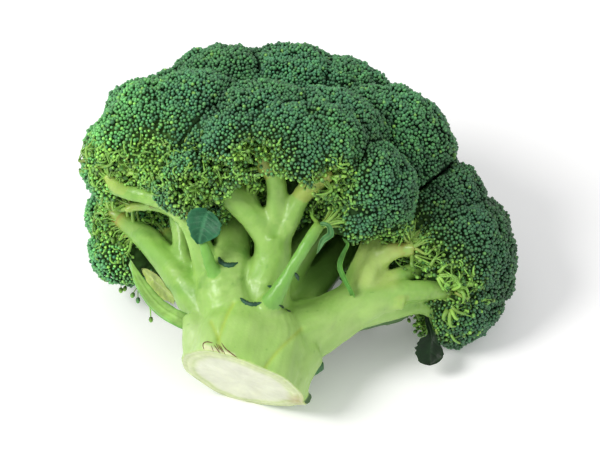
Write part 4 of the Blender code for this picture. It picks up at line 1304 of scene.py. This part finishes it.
def core_radii(k, rays, inset=1.6):
    spec = FLORETS[NAMES[k]]
    origin = np.array(spec["centre"], float)
    r = np.zeros(len(rays))
    for x, y, z, q in spec["balls"]:
        off = origin - (x, y, z)
        b = rays @ off
        c = off @ off - (q - inset) ** 2
        disc = b * b - c
        r = np.maximum(r, np.where(disc > 0, -b + np.sqrt(np.maximum(disc, 0)), 0))
    for s in spec["scoops"]:
        half = np.array(s[3:6])
        o, d = (origin - s[:3]) / half, rays / half
        a, b, c = (d * d).sum(1), d @ o, o @ o - 1.0
        disc = b * b - a * c
        near = np.where(disc > 0, (-b - np.sqrt(np.maximum(disc, 0))) / a, np.inf)
        r = np.minimum(r, np.where(near > 0, near, np.inf))
    down = rays @ -UP
    room = origin @ UP - floor_h - 0.6
    r = np.minimum(r, np.where(down > 1e-6, room / np.maximum(down, 1e-6), np.inf))
    far, near = r.copy(), np.zeros(len(rays))
    open_ray = np.ones(len(rays), bool)
    steps = np.linspace(0, 1, 41)
    for lo, hi in zip(steps[:-1], steps[1:]):
        idx = np.where(open_ray)[0]
        inside = own_share(k, origin + rays[idx] * (r[idx] * hi)[:, None], 0.4)
        out = idx[~inside]
        near[out], far[out] = (r * lo)[out], (r * hi)[out]
        open_ray[out] = False
    cut = ~open_ray
    idx = np.where(cut)[0]
    for _ in range(9):
        middle = (near[idx] + far[idx]) / 2
        inside = own_share(k, origin + rays[idx] * middle[:, None], 0.4)
        near[idx] = np.where(inside, middle, near[idx])
        far[idx] = np.where(inside, far[idx], middle)
    return origin, np.where(cut, near, r)


def under_buds():
    """Small young buds on the walls of the openings, near the outside of the crown."""
    r = np.random.RandomState(51)
    out_p, out_n, out_o = [], [], []
    for k, name in enumerate(NAMES):
        spec = FLORETS[name]
        for s in spec["scoops"]:
            half = np.array(s[3:6], float)
            n = int(4 * math.pi * (half ** 1.6).mean() ** (2 / 1.6) / 0.7)
            d = sphere_points(n)
            p = np.array(s[:3]) + d * half
            nrm = -unit(d / half)
            mine = np.array([b for b in spec["balls"]], float)
            depth = (mine[:, 3] - np.linalg.norm(p[:, None] - mine[None, :, :3], axis=-1)).max(1)
            ok = (depth > 0.3) & (r.uniform(size=n) < np.clip(1.25 - depth / 9.0, 0, 1))
            for q in spec["scoops"]:
                if q is not s:
                    ok &= (((p - q[:3]) / np.array(q[3:6])) ** 2).sum(1) > 1
            ok &= (p @ UP > floor_h + 1.6)
            ok &= own_share(k, p, 0.4)
            ok &= (nrm @ unit(np.array([0, -0.3, 1.0])) > -0.6)
            p, nrm = p[ok], nrm[ok]
            p = p + nrm * r.uniform(-0.4, 0.9, (len(p), 1)) + r.normal(size=p.shape) * 0.25
            far = np.ones(len(p), bool)
            for lo in range(0, len(p), 800):
                far[lo:lo + 800] = (np.linalg.norm(p[lo:lo + 800, None] - ST["skel"][None, :, :3], axis=-1) - ST["skel"][None, :, 3]).min(1) > 0.8
            out_p.append(p[far])
            out_n.append(nrm[far])
            out_o.append(np.full(far.sum(), k))
    p, nrm, o = np.vstack(out_p), np.vstack(out_n), np.concatenate(out_o)
    keep = dart_throw(p, np.full(len(p), 1.35), r.permutation(len(p)))
    p, nrm, o = p[keep], nrm[keep], o[keep]
    ax = unit(nrm + 0.5 * r.normal(size=p.shape))
    return np.hstack([p, ax, r.uniform(0.5, 0.8, (len(p), 1))]), o


print("sprays")
ARMS, ARM_R, TWIGS, TWIG_R, SPRAY = spray_set()
ARM_OWN = OWNER[power(ARMS[:, -1], BALLS)[1]]
TWIG_OWN = OWNER[power(TWIGS[:, -1], BALLS)[1]]
UNDER, UNDER_OWN = under_buds()
# a few single buds hanging below the left side
hang_paths, hang_buds = [], []
for pts in ([(-46.5, 41, -48.5), (-48.3, 37.5, -48), (-49.0, 34.8, -48)], [(-47.5, 39.5, -48.5), (-50.4, 37.0, -48), (-50.8, 34.2, -48)],
            [(-42.0, 40, -46), (-43.6, 35, -46), (-43.8, 30.2, -46)], [(-43.5, 34.8, -46), (-45.0, 33.4, -45.6), (-45.6, 32.2, -45.5)],
            [(-38.5, 30, -27), (-37.6, 26.5, -26), (-37.4, 23.2, -26)]):
    q = path_through([tuple(a) + (0.0,) for a in pts], 0.5)[:, :3]
    q = q[np.linspace(0, len(q) - 1, 5).round().astype(int)]
    hang_paths.append(q)
    hang_buds.append((*(q[-1] + unit(q[-1] - q[-2]) * 0.8), *unit(q[-1] - q[-2]), 1.0))
TWIGS = np.concatenate([TWIGS, np.array(hang_paths)])
TWIG_OWN = np.concatenate([TWIG_OWN, np.full(len(hang_paths), NAMES.index("floret_lower_left"))])
BUD_OWN = np.concatenate([TWIG_OWN, UNDER_OWN])
SPRAY = np.vstack([SPRAY, np.array(hang_buds), UNDER])
srng = np.random.RandomState(9)
ns = len(SPRAY)
print("sprays", len(ARMS), ns)
sV = buds_mesh(SPRAY[:, :3], SPRAY[:, 3:6], SPRAY[:, 6], SPRAY[:, 6] * srng.uniform(1.15, 1.5, ns), srng.uniform(0, 6.28, ns))
w = np.clip(0.5 + 0.38 * srng.normal(size=ns), 0, 1)[:, None]
scol = np.array([0.06, 0.21, 0.045]) * (1 - w) + np.array([0.23, 0.45, 0.055]) * w
scol = scol * srng.uniform(0.75, 1.2, (ns, 1))
# the same painted base shade and tip light on these buds
scol = scol[:, None, :] * bud_shade_and_tip_light[None, :, None]


print("cores")
ico = bmesh.new()
bmesh.ops.create_icosphere(ico, subdivisions=6, radius=1.0)
RAYS = unit(np.array([v.co[:] for v in ico.verts]))
ICO_F = np.array([[v.index for v in f.verts] for f in ico.faces])
ico.free()

CORES = {}
for k, name in enumerate(NAMES):
    origin, r = core_radii(k, RAYS)
    p = origin + RAYS * np.maximum(r, 0.8)[:, None]
    outw = unit(p - HUB)
    p = p + RAYS * (0.5 * noise(p, 3.0, 91) + 0.35 * noise(p, 1.3, 92) - 0.3)[:, None]
    face = (RAYS * outw).sum(1)
    under = smooth01((0.15 - face) / 0.5)[:, None]
    yw = np.maximum(zone(p, YOUNG), under[:, 0] * 0.5)[:, None]
    # painted shade: the core between the buds is painted near black, and yellow-green where the crown is young and on
    # the undersides
    cc = np.array([0.007, 0.026, 0.010]) * (1 - yw) + np.array([0.060, 0.135, 0.026]) * yw
    cc = cc * (1 + 0.5 * noise(p, 1.6, 93))[:, None]
    CORES[name] = (p, cc)


# --------------------------------------------------------- put florets together
print("florets")
for k, name in enumerate(NAMES):
    sel = np.where(own == k)[0]
    m = len(sel)
    nvb = len(BUD_V)
    extra_b = np.where(BUD_OWN == k)[0]
    extra_b = extra_b[:max(0, 5450 - len(sel))]
    V = np.vstack([bV[sel].reshape(-1, 3), sV[extra_b].reshape(-1, 3)])
    V = V + UP * np.maximum(0.0, floor_h + 0.03 - V @ UP)[:, None]
    m = len(sel) + len(extra_b)
    off = (np.arange(m) * nvb)[:, None, None]
    Q = (BUD_Q[None] + off).reshape(-1, 4)
    Tt = (BUD_T[None] + off).reshape(-1, 3)
    C = np.vstack([bcol[sel].reshape(-1, 3), scol[extra_b].reshape(-1, 3)])
    side = math.ceil(math.sqrt(m + 1))
    uv = grid_cells(m, BUD_UV[:, 0], BUD_UV[:, 1], 0.06)
    bud_obj = make_mesh("buds_" + name[7:], world(V), [Q, Tt], paint=C, uv=uv)
    finish_piece(bud_obj, MAT_BUD, [name])
    cp, cc = CORES[name]
    core = make_mesh("core_" + name[7:], world(cp), [ICO_F], paint=cc)
    finish_piece(core, MAT_CORE, [name])
    parts_v, parts_q, parts_t, parts_c, parts_uv, base_n = [], [], [], [], [], 0
    groups = ((ppath[own[cand] == k], (0.50, 0.30), 5, 0.0), (ARMS[ARM_OWN == k], (0.85, 0.52), 6, 1.0), (TWIGS[TWIG_OWN == k], (0.32, 0.24), 5, 0.0),
              (THREADS[THREAD_OWN == k], (0.40, 0.26), 5, 0.0))
    for g, (paths, (r0, r1), sides, thick) in enumerate(groups):
        if not len(paths):
            continue
        kk = paths.shape[1]
        rad = np.linspace(r0, r1, kk)[None] * prng.uniform(0.8, 1.2, (len(paths), 1))
        pv, pq, pt, n, al, ar = tube_batch(paths, rad, sides)
        basec = np.array([0.33, 0.55, 0.10]) if g < 2 else np.array([0.27, 0.52, 0.085]) if g == 2 else np.array([0.22, 0.46, 0.075])
        tipc = np.array([0.21, 0.46, 0.07])
        pc = basec * (1 - al[:, None]) + tipc * al[:, None]
        tint = prng.uniform(0.6, 1.15, (len(paths), 1, 1))
        rust = (prng.uniform(size=(len(paths), 1, 1)) < 0.07) * (1 - al)[None, :, None] * 0.55
        pc = (pc[None] * tint) * (1 - rust) + np.array([0.26, 0.20, 0.05]) * rust
        cells = grid_cells(len(paths), al, ar / 6.4, 0.1)
        cells[:, 0] = (g + cells[:, 0] * 0.98) / 4
        parts_v.append(pv)
        parts_q.append(pq + base_n)
        parts_t.append(pt + base_n)
        parts_c.append(pc.reshape(-1, 3))
        parts_uv.append(cells)
        base_n += len(pv)
    if parts_v:
        ped = make_mesh("pedicels_" + name[7:], world(np.vstack(parts_v)), [np.vstack(parts_q), np.vstack(parts_t)],
                        paint=np.vstack(parts_c), uv=np.vstack(parts_uv))
        finish_piece(ped, MAT_PED, [name])


# -------------------------------------------------------------------- leaves
def leaf_piece(name, spec, style, nu=56, nv=20):
    line = path_through([tuple(p) + (w,) for p, w in zip(spec["line"], spec["width"])], 0.5)
    idx = np.linspace(0, len(line) - 1, nu)
    lo = np.floor(idx).astype(int).clip(0, len(line) - 2)
    line = line[lo] * (1 - (idx - lo))[:, None] + line[lo + 1] * (idx - lo)[:, None]
    P, W = line[:, :3], line[:, 3]
    u0 = np.linspace(0, 1, nu)
    tip_len, base_len = style.get("tip", 0.22), style.get("base", 0.08)
    W = W * np.sqrt(np.clip(1 - (np.clip((u0 - 1 + tip_len) / tip_len, 0, 1)) ** 2, 0.01, 1))
    W = W * np.sqrt(np.clip(1 - (np.clip((base_len - u0) / base_len, 0, 1)) ** 2, 0.03, 1))
    T = unit(np.gradient(P, axis=0))
    face = unit(np.array(spec["face"]))
    side = unit(np.cross(np.broadcast_to(face, T.shape), T))
    up = np.cross(T, side)
    s = np.linspace(-1, 1, nv)
    u = np.linspace(0, 1, nu)
    U, Sg = np.meshgrid(u, s, indexing='ij')
    Wg = W[:, None] * (1 + style.get("edge", 0.0) * noise(np.stack([U * 9, Sg * 0.7, U * 0], -1) * 3, 1.0, style["seed"]) * np.abs(Sg) ** 2)
    if "left" in style:
        lw = np.interp(U, np.linspace(0, 1, len(style["left"])), style["left"])
        rw = np.interp(U, np.linspace(0, 1, len(style["right"])), style["right"])
        Wg = Wg * np.where(Sg > 0, rw, lw)
    G = P[:, None] + side[:, None] * (Sg * Wg)[..., None]
    cup = spec["cup"] * (Sg ** 2 - 0.4)
    wave = style.get("wave", 0.0) * np.sin(U * style.get("waves", 9) + Sg * 1.3 + style["seed"]) * np.abs(Sg) ** 1.5
    veins = np.zeros_like(U)
    midrib = np.exp(-(Sg * Wg / 0.55) ** 2)
    for t in style.get("vein_at", []):
        for sgn in (-1, 1):
            q = (U - t) - 0.22 * np.abs(Sg) ** 1.2
            veins = np.maximum(veins, np.exp(-(q / 0.012) ** 2) * (Sg * sgn > 0) * (1 - 0.5 * np.abs(Sg)))
    h = cup + wave - 0.25 * veins - 0.35 * midrib + 0.12 * noise(G, 1.8, style["seed"] + 4)
    G = G + up[:, None] * h[..., None]
    thick = style.get("thick", 0.5)
    tk = thick * (0.35 + 0.65 * (1 - np.abs(Sg) ** 4)) + 0.5 * midrib * thick
    top = G + up[:, None] * (tk / 2)[..., None]
    bot = G - up[:, None] * (tk / 2)[..., None]
    V = np.vstack([top.reshape(-1, 3), bot.reshape(-1, 3)])
    n = nu * nv
    i, j = np.meshgrid(np.arange(nu - 1), np.arange(nv - 1), indexing='ij')
    a = (i * nv + j).ravel()
    q1 = np.stack([a, a + 1, a + nv + 1, a + nv], -1)
    q2 = q1[:, ::-1] + n
    rim = list(range(0, nv)) + [r * nv + nv - 1 for r in range(1, nu)] + [(nu - 1) * nv + c for c in range(nv - 2, -1, -1)] + [r * nv for r in range(nu - 2, 0, -1)]
    rim = np.array(rim)
    nx = np.roll(rim, -1)
    q3 = np.stack([rim, rim + n, nx + n, nx], -1)
    c0, c1, cv = (np.array(style[k]) for k in ("colour", "edge_colour", "vein_colour"))
    e = (np.abs(Sg) ** 6)[..., None]
    C = c0 * (1 - e) + c1 * e
    vv = np.clip(np.maximum(veins * 0.75, midrib * style.get("rib", 0.9)), 0, 1)[..., None]
    C = C * (1 - vv) + cv * vv
    C = C * (1 + 0.22 * noise(G, 2.4, style["seed"] + 9)[..., None] + 0.12 * noise(G, 0.9, style["seed"] + 10)[..., None])
    if "base_colour" in style:
        k = smooth01((style.get("base_len", 0.3) - U) / style.get("base_len", 0.3))[..., None]
        C = C * (1 - k) + np.array(style["base_colour"]) * k
    C = np.vstack([C.reshape(-1, 3), C.reshape(-1, 3) * 1.15])
    uv = np.vstack([np.stack([U.ravel() * 0.46 + 0.02, (Sg.ravel() * 0.5 + 0.5) * 0.94 + 0.03], -1),
                    np.stack([U.ravel() * 0.46 + 0.52, (Sg.ravel() * 0.5 + 0.5) * 0.94 + 0.03], -1)])
    obj = make_mesh(name + "_blade", world(V), [q1, q2, q3], paint=C, uv=uv)
    bm = bmesh.new()
    bm.from_mesh(obj.data)
    bmesh.ops.recalc_face_normals(bm, faces=bm.faces)
    bm.to_mesh(obj.data)
    bm.free()
    finish_piece(obj, MAT_STALK if style.get("flesh") else MAT_LEAF, [name])
    return obj


# the curled leaf's thin tip hooks over under the crown's edge
LEAVES["leaf_curled"]["line"] = [(42.3, 30.8, -7.8), (41.4, 33.8, -4.8), (38.8, 38.6, -3.6), (36.9, 43.6, -3.2), (38.2, 48.4, -3.6), (39.8, 52.2, -3.6), (37.8, 54.6, -2.6)]
LEAVES["leaf_curled"]["width"] = [0.9, 0.9, 1.2, 1.0, 1.1, 0.9, 0.6]

LEAF_STYLE = {
    "leaf_hanging": dict(seed=3, wave=0.7, waves=7, edge=0.10, left=[1.15, 1.0, 0.78, 0.6], right=[0.75, 1.02, 1.12, 0.9], vein_at=[0.05, 0.2, 0.36, 0.52, 0.68], rib=0.8,
                         colour=(0.014, 0.105, 0.042), edge_colour=(0.03, 0.16, 0.07), vein_colour=(0.06, 0.22, 0.10)),
    "leaf_left_bract": dict(seed=5, wave=0.1, edge=0.03, flesh=True, thick=2.4, rib=0.0,
                            colour=(0.29, 0.50, 0.12), edge_colour=(0.14, 0.36, 0.06), vein_colour=(0.29, 0.50, 0.12)),
    "leaf_left_small": dict(seed=8, wave=0.5, edge=0.06, vein_at=[0.2, 0.45, 0.7], rib=0.7,
                            colour=(0.30, 0.42, 0.08), edge_colour=(0.36, 0.42, 0.12), vein_colour=(0.42, 0.50, 0.20)),
    "leaf_curled": dict(seed=12, wave=0.35, waves=12, edge=0.08, rib=0.5,
                        colour=(0.065, 0.25, 0.040), edge_colour=(0.17, 0.42, 0.07), vein_colour=(0.18, 0.42, 0.08),
                        base_colour=(0.11, 0.30, 0.05)),
    "leaf_side_tip": dict(seed=14, wave=0.3, edge=0.10, rib=0.5,
                          colour=(0.035, 0.16, 0.05), edge_colour=(0.16, 0.34, 0.10), vein_colour=(0.16, 0.32, 0.10)),
    # the leaf low under the right of the crown is dark green, and its near-black colours are painted shade
    "leaf_dark_right": dict(seed=17, wave=0.7, waves=8, edge=0.12, left=[1, 1, 1, 1.15, 1.08, 1.0], right=[1, 1, 1, 0.85, 1.1, 1.05], vein_at=[0.25, 0.5, 0.75], rib=0.35,
                            colour=(0.004, 0.017, 0.004), edge_colour=(0.009, 0.034, 0.008), vein_colour=(0.010, 0.036, 0.009), tip=0.10, base=0.03),
}
print("leaves")
for name, spec in LEAVES.items():
    leaf_piece(name, spec, LEAF_STYLE[name])


# ------------------------------------------------------- floor, light, camera
def build_stage():
    mesh = bpy.data.meshes.new("floor")
    bm = bmesh.new()
    bmesh.ops.create_grid(bm, x_segments=8, y_segments=8, size=3.0)
    bm.to_mesh(mesh)
    bm.free()
    floor = bpy.data.objects.new("floor", mesh)
    bpy.context.scene.collection.objects.link(floor)
    mat, nt, b = principled("floor_white")
    b.inputs["Base Color"].default_value = (0.93, 0.93, 0.935, 1)
    b.inputs["Roughness"].default_value = 0.75
    b.inputs["Emission Color"].default_value = (1, 1, 1, 1)
    b.inputs["Emission Strength"].default_value = 0.16
    mesh.materials.append(mat)

    w = bpy.data.worlds.new("soft_sky")
    w.use_nodes = True
    w.node_tree.nodes["Background"].inputs[0].default_value = (1.0, 1.0, 1.0, 1)
    w.node_tree.nodes["Background"].inputs[1].default_value = 0.66
    bpy.context.scene.world = w

    def area(name, at, to, size, power, colour=(1, 1, 1)):
        light = bpy.data.lights.new(name, 'AREA')
        light.shape = 'DISK'
        light.size = size
        light.energy = power
        light.color = colour
        obj = bpy.data.objects.new(name, light)
        bpy.context.scene.collection.objects.link(obj)
        obj.location = at
        obj.rotation_mode = 'QUATERNION'
        obj.rotation_quaternion = (Vector(to) - Vector(at)).to_track_quat('-Z', 'Y')
        return obj

    area("key", (-0.70, -0.36, 0.88), (0, 0, 0.04), 0.45, 9.0, (1.0, 0.985, 0.96))
    area("fill", (0.9, -0.7, 0.5), (0, 0, 0.04), 0.8, 1.0)


build_stage()
scene = bpy.context.scene
cam = bpy.data.cameras.new("camera")
cam.sensor_width = 36.0
DIST = 0.95
cam.lens = 36.0 * DIST / 0.234
cam_obj = bpy.data.objects.new("camera", cam)
scene.collection.objects.link(cam_obj)
at = world((21.45, 59.67, -15.0 + DIST * 1000.0))
cam_obj.matrix_world = Matrix(((1, 0, 0, at[0]), (0, SN, -CS, at[1]), (0, CS, SN, at[2]), (0, 0, 0, 1)))
scene.camera = cam_obj
scene.view_settings.view_transform = 'Standard'
scene.view_settings.look = 'None'
scene.view_settings.exposure = 0.0
scene.view_settings.gamma = 1.0
